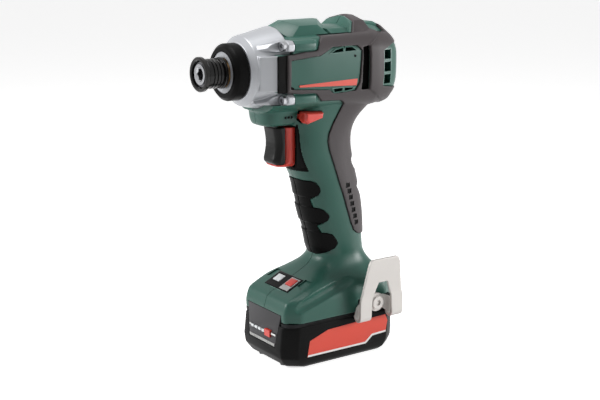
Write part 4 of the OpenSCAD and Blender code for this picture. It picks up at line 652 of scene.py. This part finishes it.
def makeHousing():
    body = fuse(rawBody("housingLeft", 0), chinLoft("chinPart", 0))
    soften(carve(body, fluteLoft()), *housing["smooth"])
    # ridge blocks and screw boxes stay crisp
    crisp = [crossY(key + "Block", ridges[key]) for key in ("front", "mid", "rear")]
    crisp += [pyramid("tailBlock", ridges["tail"])] + [boss("screwBox", place) for place in bossPlaces]
    fuse(body, *[rounded(piece, ridges["edge"]) for piece in crisp])
    halved(carve(body, block("tailSlot", *ridges["tailSlot"])))
    print("housing joined")
    # pockets that the rubber and the finger grip sit in
    gap = rubber["gap"]
    pocket = prism("rubberPocket", grownOutline(rubber["outline"], gap), 0, far)
    for key in ("label", "tail"):
        carve(pocket, prism(key + "Island", grownOutline(rubber[key], -gap), -1, far + 1))
    carve(pocket, rawBody("pocketFloor", -rubber["floor"]),
          *[boss("boxKept", place, bosses["kept"]) for place in bossPlaces],
          block("tailKept", (-90, -1, 150), (rubber["end"] - gap, far + 1, 230)))
    fingers = prism("fingerPocket", grownOutline(fingerGrip["outline"], fingerGrip["gap"]), 0, far)
    carve(fingers, gripLoft("fingerFloor", -fingerGrip["floor"]))
    carve(body, pocket, fingers, prism("groovePocket", rubber["groove"], rubber["grooveFloor"], far))
    headVents(openUp(body))
    # the wall behind the trigger and its collar, which take painted shade
    back, wall = opening["back"], opening["wall"]
    screen = block("openingWall", (back - wall, seamHalf, opening["wallLow"]),
                   (back, opening["wallHalf"], opening["wallHigh"]))
    within(screen, gripLoft("wallLimit", -wall))
    carve(screen, rod("stemRoom", (0, 0, trigger["stem"][1]), "x", 40, opening["stemRoom"], 32))
    fuse(body, screen, block("openingCollar", *opening["collar"]))
    wedge = carve(prism("deckWedge", deck["wedge"], *deck["wedgeSides"]),
                  gripLoft("wedgeFloor", -deck["wedgeDeep"]))
    carve(body, prism("leverSlot", grownOutline(lever["outline"], lever["slot"]), lever["slotFrom"], far),
          wedge, block("hookPadRoom", *grip["padRoom"]),
          *[boss("lugRoom", place, bosses["lugGap"], bosses["lugRows"]) for place in bossPlaces])
    print("housing carved:", len(body.data.polygons), "faces")
    twin = mirrored(body, "housingRight")
    for x, height, depth in screws["places"]:
        carve(twin, rod("counterbore", (x, -depth, height), "y", -far, screws["head"], 32))
    # faces in the label groove and the trigger opening get the near-black painted shade
    settlePair((body, twin), ("housing_left", "housing_right"), "green_plastic", 30, paintedShadeAndInk,
               lambda c: any(inBox(c, box) for box in housing["dark"]))


makeHousing()
makeTongue()


def makeRubber():
    skin, inside = rubber["skin"], rubber["overlap"] - rubber["floor"]
    body = rawBody("overmouldLeft", skin)
    # the raised bumper round the tail
    fuse(body, within(rawBody("bumper", rubber["bumperSkin"]),
                      prism("bumperShape", rubber["bumper"], 0, far)))
    windows = (("label", -1), ("tail", -1), ("groove", 23))  # outline and where its cutter starts
    shape = prism("rubberShape", rubber["outline"], seamHalf, far)
    carve(shape, *[prism(key + "Window", rubber[key], start, far + 1) for key, start in windows])
    within(body, shape)
    carve(body, rawBody("rubberInside", inside),
          block("cheekEnd", (head["cheekFront"] + rubber["cheekGap"], -1, 0), (ahead, far, 400)),
          block("cheekStep", (rubber["cheek"], rubber["cheekHalf"], 0), (ahead, far, 400)),
          prism("leverRoom", grownOutline(lever["outline"], rubber["leverGap"]), -1, far),
          *[boss("boxRoom", place, rubber["boxGap"], rubber["boxRows"]) for place in bossPlaces],
          block("tailEnd", (-90, -1, 150), (rubber["end"], far, 230)))
    soften(body, *rubber["smooth"])
    cap = rounded(crossY("rearCap", rubber["cap"]), rubber["capEdge"])
    fuse(body, carve(cap, rawBody("capInside", inside)))
    # moulded marks, facets and notches on the handle's back
    (x0, z0), (x1, z1) = rubber["markFrom"], rubber["markTo"]
    (hx, hz), slant = rubber["markSize"], rubber["markSlant"]
    last = rubber["marks"] - 1
    places = [(x0 + (x1 - x0) * k / last, z0 + (z1 - z0) * k / last) for k in range(last + 1)]
    marks = [[(x - hx, z - hz - slant), (x + hx, z - hz), (x + hx, z + hz), (x - hx, z + hz - slant)]
             for x, z in places]
    for outlines, deep in ((marks, rubber["markDeep"]), (rubber["arrows"], rubber["arrowDeep"])):
        for outline in outlines:
            carve(body, carve(prism("mark", outline, 4, far), gripLoft("markFloor", skin - deep)))
    for x, z in rubber["notches"]:
        carve(body, prism("notch", [(x + dx, z + dz) for dx, dz in rubber["notch"]], -1, 10))
    print("rubber:", len(body.data.polygons), "faces")

    def isBlack(c):  # the cheek's front and the floors of the marks
        return c.x > rubber["cheek"] + 0.15 or c.z < rubber["markTop"] and any(
            abs(c.x - x) < hx + 0.05 and abs(c.z - z) < hz + 0.45 for x, z in places)

    pair = (body, mirrored(body, "overmouldRight"))
    settlePair(pair, ("overmould_left", "overmould_right"), "soft_grip", 45, finishes["finger_rubber"],
               isBlack)


makeRubber()


def makeFingerGrip():
    outline, reach = fingerGrip["outline"], fingerGrip["reach"]
    body = within(gripLoft("fingerGripLeft", fingerGrip["skin"]),
                  prism("fingerShape", outline, seamHalf, reach))
    for high, low in fingerGrip["lobes"]:
        band = [(-20, low), (50, low - 2), (50, high), (-20, high)]
        fuse(body, within(gripLoft("lobe", fingerGrip["lobe"]), prism("lobeBand", band, seamHalf, reach),
                          prism("lobeShape", outline, seamHalf, reach)))
    carve(body, gripLoft("fingerInside", fingerGrip["overlap"] - fingerGrip["floor"]),
          block("triggerRoom", *fingerGrip["triggerRoom"]))
    soften(body, *fingerGrip["smooth"])
    pair = (body, mirrored(body, "fingerGripRight"))
    settlePair(pair, ("finger_grip_left", "finger_grip_right"), "finger_rubber", 50)
    print("finger grips made")


makeFingerGrip()


# prints on the label and the hood: outlines (x, z) and the face they lie on
prints = {"stripe": [(33.5, 176.1), (-8.7, 177), (-7.9, 173), (33.5, 175)], "stripeBack": 26,
          "stripeFace": 26.62, "dot": (-6.7, 190.7, 0.8),
          "signs": [[(35.4, 155.4), (33.9, 156.4), (33.9, 154.4)],
                    [(30.6, 156.4), (29.1, 155.4), (30.6, 154.4)],
                    [(33, 156), (31.5, 156), (31.5, 154.8), (33, 154.8)]], "signBack": 12.4,
                    "signFace": 13.35}


def makePrints():
    x, z, radius = prints["dot"]
    for side, name in ((1, "Left"), (-1, "Right")):
        low, high = sorted((side * prints["stripeBack"], side * prints["stripeFace"]))
        settle(prism("labelStripe" + name, prints["stripe"], low, high), "tool", "green_plastic",
               finish=redPrint)
        dot = rod("labelDot" + name, (x, low, z), "y", high - low, radius, 24)
        settle(dot, "tool", "green_plastic", finish=paintedShadeAndInk)
        low, high = sorted((side * prints["signBack"], side * prints["signFace"]))
        for number, outline in enumerate(prints["signs"]):
            sign = prism("turnSign" + name + str(number), outline, low, high)
            settle(sign, "tool", "green_plastic", finish=paintedShadeAndInk)
    print("prints made")


makePrints()


# die-cast hammer case: profile of (x, radius), lugs and the driver's channels in front of the screws
nose = {"profile": [(36.8, 22.4), (36.8, 24.9), (37.2, 25.2), (57.4, 20.9), (58.2, 20.7), (60.9, 17.2),
                    (61, 13.2), (69.44, 13.2), (69.44, 8.6), (48.2, 8.6), (48.2, 20.3), (36.8, 20.3)],
        "rib": [(37, 26), (48, 24.9), (57.4, 21.3)], "ribHigh": 10.3, "ribInner": 12, "edge": 0.5,
        "lugRows": [(36.8, 27, 0), (41.6, 27, 0)], "lugInner": 14, "screwY": 23.41, "screwZ": 15.88,
        "wedge": [(41, 26.2, 0.2), (57.3, 15.4, 3.4)],
        "channel": [(42.2, 3.4, 0), (50, 3.6, -0.3), (60, 3.8, -0.6)],
        "frontBore": 8.55, "caseBore": 20.3, "barrel": 22.5, "barrelFrom": 6.8, "barrelLong": 31,
        "smooth": (0.35, 2, 0.6),
        "ring": [(61.05, 13.35), (61.05, 16.2), (61.6, 16.8), (67.5, 16.8), (68.2, 16.55), (69.9, 14.8),
                 (70, 14.2), (70, 12.3), (69.8, 12.07), (69.5, 12.07), (69.5, 13.35)]}


def makeNose():
    z, high, inner, bore = axisZ, nose["ribHigh"], nose["ribInner"], nose["caseBore"]
    body = spun("gearHousing", nose["profile"], 128)
    for side in (-1, 1):
        rib = loft("rib", [[(x, side * inner, z - high), (x, side * y, z - high), (x, side * y, z + high),
                            (x, side * inner, z + high)] for x, y in nose["rib"]])
        fuse(body, rounded(rib, nose["edge"]))
    turns = [2 * math.pi * k / 24 for k in range(24)]
    for place, up in zip(bossPlaces, (1, -1)):
        lug = rounded(boss("lug", place, 0, nose["lugRows"], nose["lugInner"]), nose["edge"])
        wedge = boss("lugWedge", place, 0, nose["wedge"], inner)
        fuse(body, mirrored(lug, "lugFar"), lug, mirrored(wedge, "wedgeFar"), wedge)
        for side in (-1, 1):
            rings = []
            for x, radius, pull in nose["channel"]:
                y0, z0 = side * (nose["screwY"] + pull), z + up * (nose["screwZ"] + pull)
                rings.append([(x, y0 + radius * math.cos(a), z0 + radius * math.sin(a)) for a in turns])
            carve(body, loft("channel", rings))
    soften(body, *nose["smooth"])
    carve(body, rod("frontBore", (40, 0, z), "x", 40, nose["frontBore"], 72),
          rod("caseBore", (30, 0, z), "x", 18.1, bore, 96))
    barrel = rod("caseBarrel", (nose["barrelFrom"], 0, z), "x", nose["barrelLong"], nose["barrel"], 96)
    fuse(body, carve(barrel, rod("barrelBore", (0, 0, z), "x", 60, bore, 96)))
    settle(body, "tool", "cast_metal", ["gear_housing"], 40)
    settle(spun("noseRing", nose["ring"], 128), "tool", "finger_rubber", ["nose_ring"], 30)
    print("nose made")


makeNose()

# bit sleeve: grip rings between a rear collar and the front flange
sleeve = {"start": 70.44, "end": 86.04, "body": 8.7, "collar": 9.2, "flange": 10.15,
          "grooves": [73.2, 75.4, 77.6, 79.8],
          "grooveHalf": 0.45, "grooveDeep": 0.55, "chamber": 7.8, "guide": 6.05, "guideFrom": 73.5,
          "guideTo": 76.6}


def makeSleeve():
    s, e, r, h = sleeve["start"], sleeve["end"], sleeve["body"], sleeve["grooveHalf"]
    collar, flange, chamber, guide = (sleeve[key] for key in ("collar", "flange", "chamber", "guide"))
    bottom = r - sleeve["grooveDeep"]
    outer = [(s, collar - 0.6), (s + 0.3, collar), (s + 1.3, collar), (s + 1.6, r)]
    for g in sleeve["grooves"]:
        outer += [(g - h, r), (g - 0.4 * h, bottom), (g + 0.4 * h, bottom), (g + h, r)]
    outer += [(e - 3.3, r), (e - 2.8, flange - 0.25), (e - 2.4, flange), (e - 0.6, flange),
              (e, flange - 0.65), (e, 8.5), (e - 0.35, 8.05)]
    x0, x1 = sleeve["guideFrom"], sleeve["guideTo"]
    inner = [(e - 0.6, chamber), (x1, chamber), (x1, guide), (x0, guide), (x0, chamber), (s, chamber)]
    settle(spun("bitSleeve", outer + inner, 128), "sleeve", "black_steel", ["bit_sleeve"], 28)
    print("sleeve made")


makeSleeve()


def triggerLoft(name, rows, back):  # rows: z, front, half width; the front is flat with round sides
    steps = [k / 8 - 1 for k in range(17)]
    bow, flat, curve = trigger["bow"], trigger["flat"], trigger["round"]
    drop = [curve * max(0, abs(t) - flat) ** 2 + bow * t * t for t in steps]
    rings = []
    for z, front, half in rows:
        face = [(front - d, t * half, z) for d, t in zip(drop, steps)]
        rings.append([(back, -half, z)] + face + [(back, half, z)])
    return loft(name, rings)


def makeTrigger():
    face = soften(triggerLoft("triggerFace", trigger["face"], trigger["faceBack"]), *trigger["smoothFace"])
    settle(face, "trigger_group", "black_plastic", ["trigger"], 50)
    red = soften(triggerLoft("triggerFrame", trigger["frame"], trigger["frameBack"]),
                 *trigger["smoothFrame"])
    x, z, radius = trigger["stem"]
    fuse(red, rod("stem", (x, 0, z), "x", trigger["stemLong"], radius, 32))
    settle(red, "trigger_group", "red_plastic", ["trigger_frame"], 50)
    print("trigger made")


makeTrigger()


def makeLever():
    rows = [(lever["root"], lever["rootGrow"])]
    rows += [(lever["reach"] + step, grow) for step, grow in lever["steps"]]
    key = loft("directionLever", [[(x, y, z) for x, z in grownOutline(lever["outline"], grow)]
                                  for y, grow in rows])
    soften(key, *lever["smooth"])
    fuse(key, mirrored(key, "leverFar"), block("leverBar", *lever["bar"]))
    settle(key, "lever", "red_plastic", ["direction_lever"], 50)
    print("lever made")


makeLever()

# control panel on the deck: fascia, work light, mode key on a grey plate
panel = {"top": 0.5, "bottom": -2.2, "edge": 0.5, "lens": (-1.33, -6.96, 3, 3.6), "lensRise": 0.65,
         "key": (-1.33, 6.96, 3, 3.35), "keyRise": 1.3, "keyEdge": 0.6, "gap": 0.3, "margin": 1.8,
         "seat": 1.2, "seatDeep": 0.25, "trim": 1.1, "trimDeep": 0.24, "trimRise": 0.1, "trimEdge": 0.08}


def fieldBlock(name, field, pad, low, high, bevel=0.0):  # field: x, y, half length, half width
    x, y, hx, hy = field
    return block(name, (x - hx - pad, y - hy - pad, low), (x + hx + pad, y + hy + pad, high), bevel)


def makePanel():
    half, side, top, bottom = deck["length"] / 2, deck["half"], panel["top"], panel["bottom"]
    x, y, hx, hy = panel["key"]

    def keyField(name, pad, low, high, bevel=0.0):  # round the key and on to the panel's front edge
        end = half - panel["margin"] + pad
        return block(name, (x - hx - pad, y - hy - pad, low), (end, y + hy + pad, high), bevel)

    plate = block("controlPanel", (-half, -side, bottom), (half, side, top), panel["edge"])
    carve(plate, *[fieldBlock("keyRoom", panel[key], panel["gap"], -5, 5) for key in ("lens", "key")],
          keyField("keyPlateSeat", panel["seat"], top - panel["seatDeep"], 3))
    settle(onDeck(plate), "tool", "black_plastic", ["control_panel"], 30, panelBlack)
    trim = keyField("keyPlate", panel["trim"], top - panel["trimDeep"], top + panel["trimRise"],
                    panel["trimEdge"])
    carve(trim, fieldBlock("trimRoom", panel["key"], panel["gap"], -5, 5))
    settle(onDeck(trim), "tool", "black_plastic", (), 30, greyPrint)
    key = fieldBlock("modeKey", panel["key"], 0, bottom, panel["keyRise"], panel["keyEdge"])
    settle(onDeck(key), "mode_key", "red_plastic", ["mode_button"], 30)
    lens = fieldBlock("workLight", panel["lens"], 0, bottom, panel["lensRise"], panel["edge"])
    settle(onDeck(lens), "tool", "lens", ["light_lens"], 30)
    print("panel made")


makePanel()

# belt hook: bow-tie plate on the pad, two bends, legs and the flared tongue (x from the screw, z)
hook = {"x": -22.755, "inner": 28.35, "thick": 1.8, "gap": 5.6, "bendZ": 28.4, "legY": 33.95, "knee": 41.92,
        "flare": math.radians(7),
        "plate": [(-16.3, 28.4), (-7.8, 28.4), (-4.5, 30.5), (4.5, 30.5), (7.8, 28.4), (16.3, 28.4),
                  (15, 33.5), (11.5, 36.6), (6.2, 39), (-6.2, 39), (-11.5, 36.6), (-15, 33.5)],
        "leg": [(16.6, 28.4), (16.6, 38.5), (15.6, 42.6), (7.2, 42.6), (7.6, 36), (8, 28.4)],
        "tongue": [(-15.6, -0.5), (15.6, -0.5), (12, 20.5), (10.9, 23.2), (9.3, 24), (-9.3, 24),
                   (-10.9, 23.2), (-12, 20.5)],
        "window": [(-7.2, -2), (7.2, -2), (3.5, 8.2), (-3.5, 8.2)], "legWidth": 8.6, "halfWidth": 16.6,
        "screwZ": 34.9, "disc": 6, "discRise": 0.35, "hole": 1.95, "lap": 0.05, "smooth": (0.3, 3, 0.6)}


def makeHook():
    x, y, z, t, legY = (hook[key] for key in ("x", "inner", "screwZ", "thick", "legY"))
    radius, bendZ = (hook["gap"] - t) / 2, hook["bendZ"] + hook["lap"]
    arc = [math.pi * k / 12 for k in range(13)]

    def at(points, side=1):
        return [(x + side * px, pz) for px, pz in points]

    def bendRing(px):
        return [(px, y + t + radius - reach * math.cos(a), bendZ - reach * math.sin(a))
                for reach, turns in ((radius + t, arc), (radius, arc[::-1])) for a in turns]

    body = prism("beltHook", at(hook["plate"]), y, y + t)
    fuse(body, rod("screwDisc", (x, y, z), "y", t + hook["discRise"], hook["disc"], 48))
    for side in (-1, 1):
        end = x + side * hook["halfWidth"]
        fuse(body, loft("bend", [bendRing(end - side * hook["legWidth"]), bendRing(end)]),
             prism("leg", at(hook["leg"], side), legY, legY + t))
    tongue = carve(prism("tongue", hook["tongue"], 0, t), prism("window", hook["window"], -1, t + 1))
    tongue.location = (x, legY, hook["knee"])
    tongue.rotation_euler = (-hook["flare"], 0, 0)
    fuse(body, applyPlace(tongue))
    carve(body, rod("hookHole", (x, y - 2, z), "y", 20, hook["hole"], 32))
    soften(body, *hook["smooth"])
    settle(body, "tool", "hook_steel", ["belt_hook"], 40)
    print("hook made")


makeHook()

# battery pack: levels (z, front, back, half width) with cut corners, label outline and front plate
pack = {
    "levels": [(0, 35.6, -38.2, 22.6), (2.4, 39.6, -40.4, 25.2), (7.6, 43.2, -41.6, 27.3),
               (13.5, 43.9, -41.8, 27.6), (27.9, 42.4, -41.6, 27.6)], "corner": (8.6, 6.6), "edge": 0.9,
    "label": [(28.2, 7.9), (26.3, 18), (12.6, 22.8), (-32.2, 24.3), (-34, 20), (-32.5, 12.5), (-22, 12),
              (-16.8, 7.8)],
    "line": [(28, 7.9), (27.7, 9.1), (-16.2, 9), (-21.4, 13.2), (-32.7, 13.7), (-32.5, 12.5), (-22, 12),
             (-16.8, 7.8)],
    "labelFace": 27.35, "plate": [(-18.4, 34.7), (18.4, 34.7), (14.35, 13.8), (-14.35, 13.8)],
    "plateBack": 40.87, "plateFront": 43.87, "seat": 38.57, "wall": 1.6, "lean": 0.09,
    "bar": [(-14, 15.9), (14, 15.9), (13.7, 14.2), (-13.7, 14.2)], "hatches": 15,
    "gaugeLine": [(-14.2, 22.1), (-12.7, 22.1), (-12.7, 21.1), (-14.1, 21.1)],
    "gaugeEnd": [(10.6, 22.1), (15.2, 22.1), (15, 21.1), (10.6, 21.1)],
    "gap": 0.35, "labelGap": 0.25, "labelDeep": 0.45, "lineRise": 0.05, "roomReach": 37,
    "feet": (35.6, -34.6),
    "footY": 12, "footBore": 2.35, "lidEnds": 0.3, "lidSides": 0.2, "plateEdge": 0.35,
    "lights": [-11.04, -6.992, -2.944, 1.104], "light": (1.5, 20.1, 21.9), "lightFloor": 42.3,
    "gaugeSeat": [(40, 3.4, 18.6), (50, 9.9, 23.4)]}


def packRing(f, b, h, ends=0.0, sides=0.0):  # front, back, half width and how far ends and sides step in
    cx, cy = pack["corner"]
    return [(f - ends, cy - h), (f - ends, h - cy), (f - cx, h - sides), (b + cx, h - sides),
            (b + ends, h - cy), (b + ends, cy - h), (b + cx, sides - h), (f - cx, sides - h)]


def packLoft(name, grow=0.0, above=()):
    return loft(name, [[(x, y, z) for x, y in packRing(front + grow, back - grow, half + grow)]
                       for z, front, back, half in pack["levels"] + list(above)])


def packPrints():  # plain printed forms in place of names
    face, front, rise = pack["labelFace"], pack["plateFront"], pack["lineRise"]
    for side, name in ((1, "Left"), (-1, "Right")):
        low, high = sorted((side * (face - pack["labelDeep"]), side * face))
        settle(prism("packLabel" + name, pack["label"], low, high), "pack", "pack_plastic", finish=redPrint)
        low, high = sorted((side * (face - rise), side * (face + rise)))
        settle(prism("packLine" + name, pack["line"], low, high), "pack", "pack_plastic", finish=whitePrint)
    bar = alongX("gaugeBar", pack["bar"], front - 0.3, front + 0.1)
    (y0, z1), (y1, _), _, (_, z0) = pack["bar"]
    step = (y1 - y0) / pack["hatches"]
    for k in range(1, pack["hatches"]):
        y = y0 + step * k
        hatch = [(y - 0.5, z0 - 1), (y - 0.1, z0 - 1), (y + 0.7, z1 + 1), (y + 0.3, z1 + 1)]
        carve(bar, alongX("hatch", hatch, front - 0.05, 50))
    settle(bar, "release", "pack_plastic", finish=greyPrint)
    for outline, name in ((pack["gaugeLine"], "gaugeStart"), (pack["gaugeEnd"], "gaugeEnd")):
        settle(alongX(name, outline, front - 0.3, front + 0.08), "release", "pack_plastic",
               finish=whitePrint)


def makePack():
    body = rounded(packLoft("packCase"), pack["edge"], 3)
    reach, wall, face = pack["roomReach"], pack["wall"], pack["labelFace"]
    room = packLoft("cellRoom", -wall, [(60,) + pack["levels"][-1][1:]])
    carve(room, block("underRoom", (-90, -90, -9), (90, 90, wall)),
          block("aheadOfRoom", (reach, -90, -9), (90, 90, 90)),
          block("behindRoom", (-90, -90, -9), (-reach, 90, 90)))
    carve(body, alongX("plateSeat", grownOutline(pack["plate"], pack["gap"]), pack["seat"], 70), room)
    for side in (-1, 1):
        low, high = sorted((side * (face - pack["labelGap"]), side * far))
        carve(body, prism("labelSeat", grownOutline(pack["label"], pack["labelGap"]), low, high))
    for x in pack["feet"]:
        for side in (-1, 1):
            carve(body, rod("footBore", (x, side * pack["footY"], -1), "z", 2, pack["footBore"], 32))
    settle(body, "pack", "pack_plastic", ["pack_case"], 35)
    # the lid keeps its rails and takes the case's cut corners
    lid = copied(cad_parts["pack_lid"], "packLid")
    lid.scale = (1000, 1000, 1000)
    applyPlace(lid)
    edge = packRing(*pack["levels"][-1][1:], pack["lidEnds"], pack["lidSides"])
    within(lid, loft("lidRoom", [[(x, y, z) for x, y in edge] for z in (10, 60)]))
    settle(lid, "pack", "pack_plastic", ["pack_lid"], 30)
    low = pack["plate"][2][1]
    leant = [(pack["plateFront"] - pack["lean"] * (z - low), y, z) for y, z in pack["plate"]]
    plate = loft("releasePlate", [[(pack["plateBack"], y, z) for y, z in pack["plate"]], leant])
    rounded(plate, pack["plateEdge"])
    half, z0, z1 = pack["light"]
    carve(plate, *[block("lightSeat", (pack["lightFloor"], y - half, z0), (50, y + half, z1))
                   for y in pack["lights"]],
          block("gaugeSeat", *pack["gaugeSeat"]))
    settle(plate, "release", "pack_plastic", ["release_plate"], 30, plateGrey)
    packPrints()
    print("pack made")


makePack()


def dressNodes():  # CAD nodes that keep their own mesh take their slot's finish
    for name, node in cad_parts.items():
        for holder in node.material_slots:
            slot = holder.material.name.split(".")[0]
            holder.material = finishes["hook_steel" if name == "hook_screw" else slot]
    print("nodes dressed:", len(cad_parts))


dressNodes()

# studio: pale floor, soft lamps and the camera at the photograph's angle
studio = {"cameraAt": (0.4386, 0.6161, 0.2795), "target": (0.01019, -0.007, 0.09806), "lens": 74.4,
          "lamps": [("topSoft", (0.15, -0.05, 0.85), (0.0, 0.0, 0.12), 0.4, 4.8),
                    ("frontSoft", (0.7, -0.4, 0.4), (0.0, 0.0, 0.12), 0.3, 4.6),
                    ("sideSoft", (-0.72, 0.55, 0.25), (0.0, 0.0, 0.1), 0.3, 6.8)],
          "world": 0.05, "floor": (0.82, 0.82, 0.82), "floorGlow": 0.8}


def aim(obj, target):
    obj.rotation_euler = (Vector(target) - obj.location).to_track_quat("-Z", "Y").to_euler()


def backgroundRays(tree):  # camera, glossy and transmission rays see the white backdrop
    path = addNode(tree, "ShaderNodeLightPath")
    seen = mathNode(tree, "MAXIMUM", path.outputs["Is Camera Ray"], path.outputs["Is Glossy Ray"])
    return mathNode(tree, "MAXIMUM", seen, path.outputs["Is Transmission Ray"])


def makeStudio():
    white = (1, 1, 1, 1)
    clearSelection()
    bpy.ops.object.camera_add(location=studio["cameraAt"])
    camera = bpy.context.object
    camera.name = "photoCamera"
    camera.data.lens = studio["lens"]
    camera.data.sensor_width = 36
    aim(camera, studio["target"])
    bpy.context.scene.camera = camera
    for name, place, target, size, power in studio["lamps"]:
        clearSelection()
        bpy.ops.object.light_add(type="AREA", location=place)
        lamp = bpy.context.object
        lamp.name = name
        lamp.data.energy = power
        lamp.data.size = size
        aim(lamp, target)
    clearSelection()
    bpy.ops.mesh.primitive_plane_add(size=6, location=(0, 0, 0))
    floor = named("floor")
    paper = bpy.data.materials.new("floorPaper")
    paper.use_nodes = True
    tree = paper.node_tree
    shader = setInputs(tree.nodes["Principled BSDF"], BaseColor=studio["floor"] + (1,), Roughness=0.9,
                       EmissionColor=white)
    glow = mathNode(tree, "MULTIPLY", backgroundRays(tree), studio["floorGlow"])
    tree.links.new(glow, shader.inputs["Emission Strength"])
    floor.data.materials.append(paper)
    world = bpy.data.worlds.new("studioWorld")
    world.use_nodes = True
    bpy.context.scene.world = world
    tree = world.node_tree
    sky = setInputs(tree.nodes["Background"], Color=white)
    strength = setInputs(addNode(tree, "ShaderNodeMapRange"), ToMin=studio["world"], ToMax=1.0)
    tree.links.new(backgroundRays(tree), strength.inputs["Value"])
    tree.links.new(strength.outputs["Result"], sky.inputs["Strength"])
    bpy.context.scene.view_settings.view_transform = "Standard"
    print("studio made")


makeStudio()
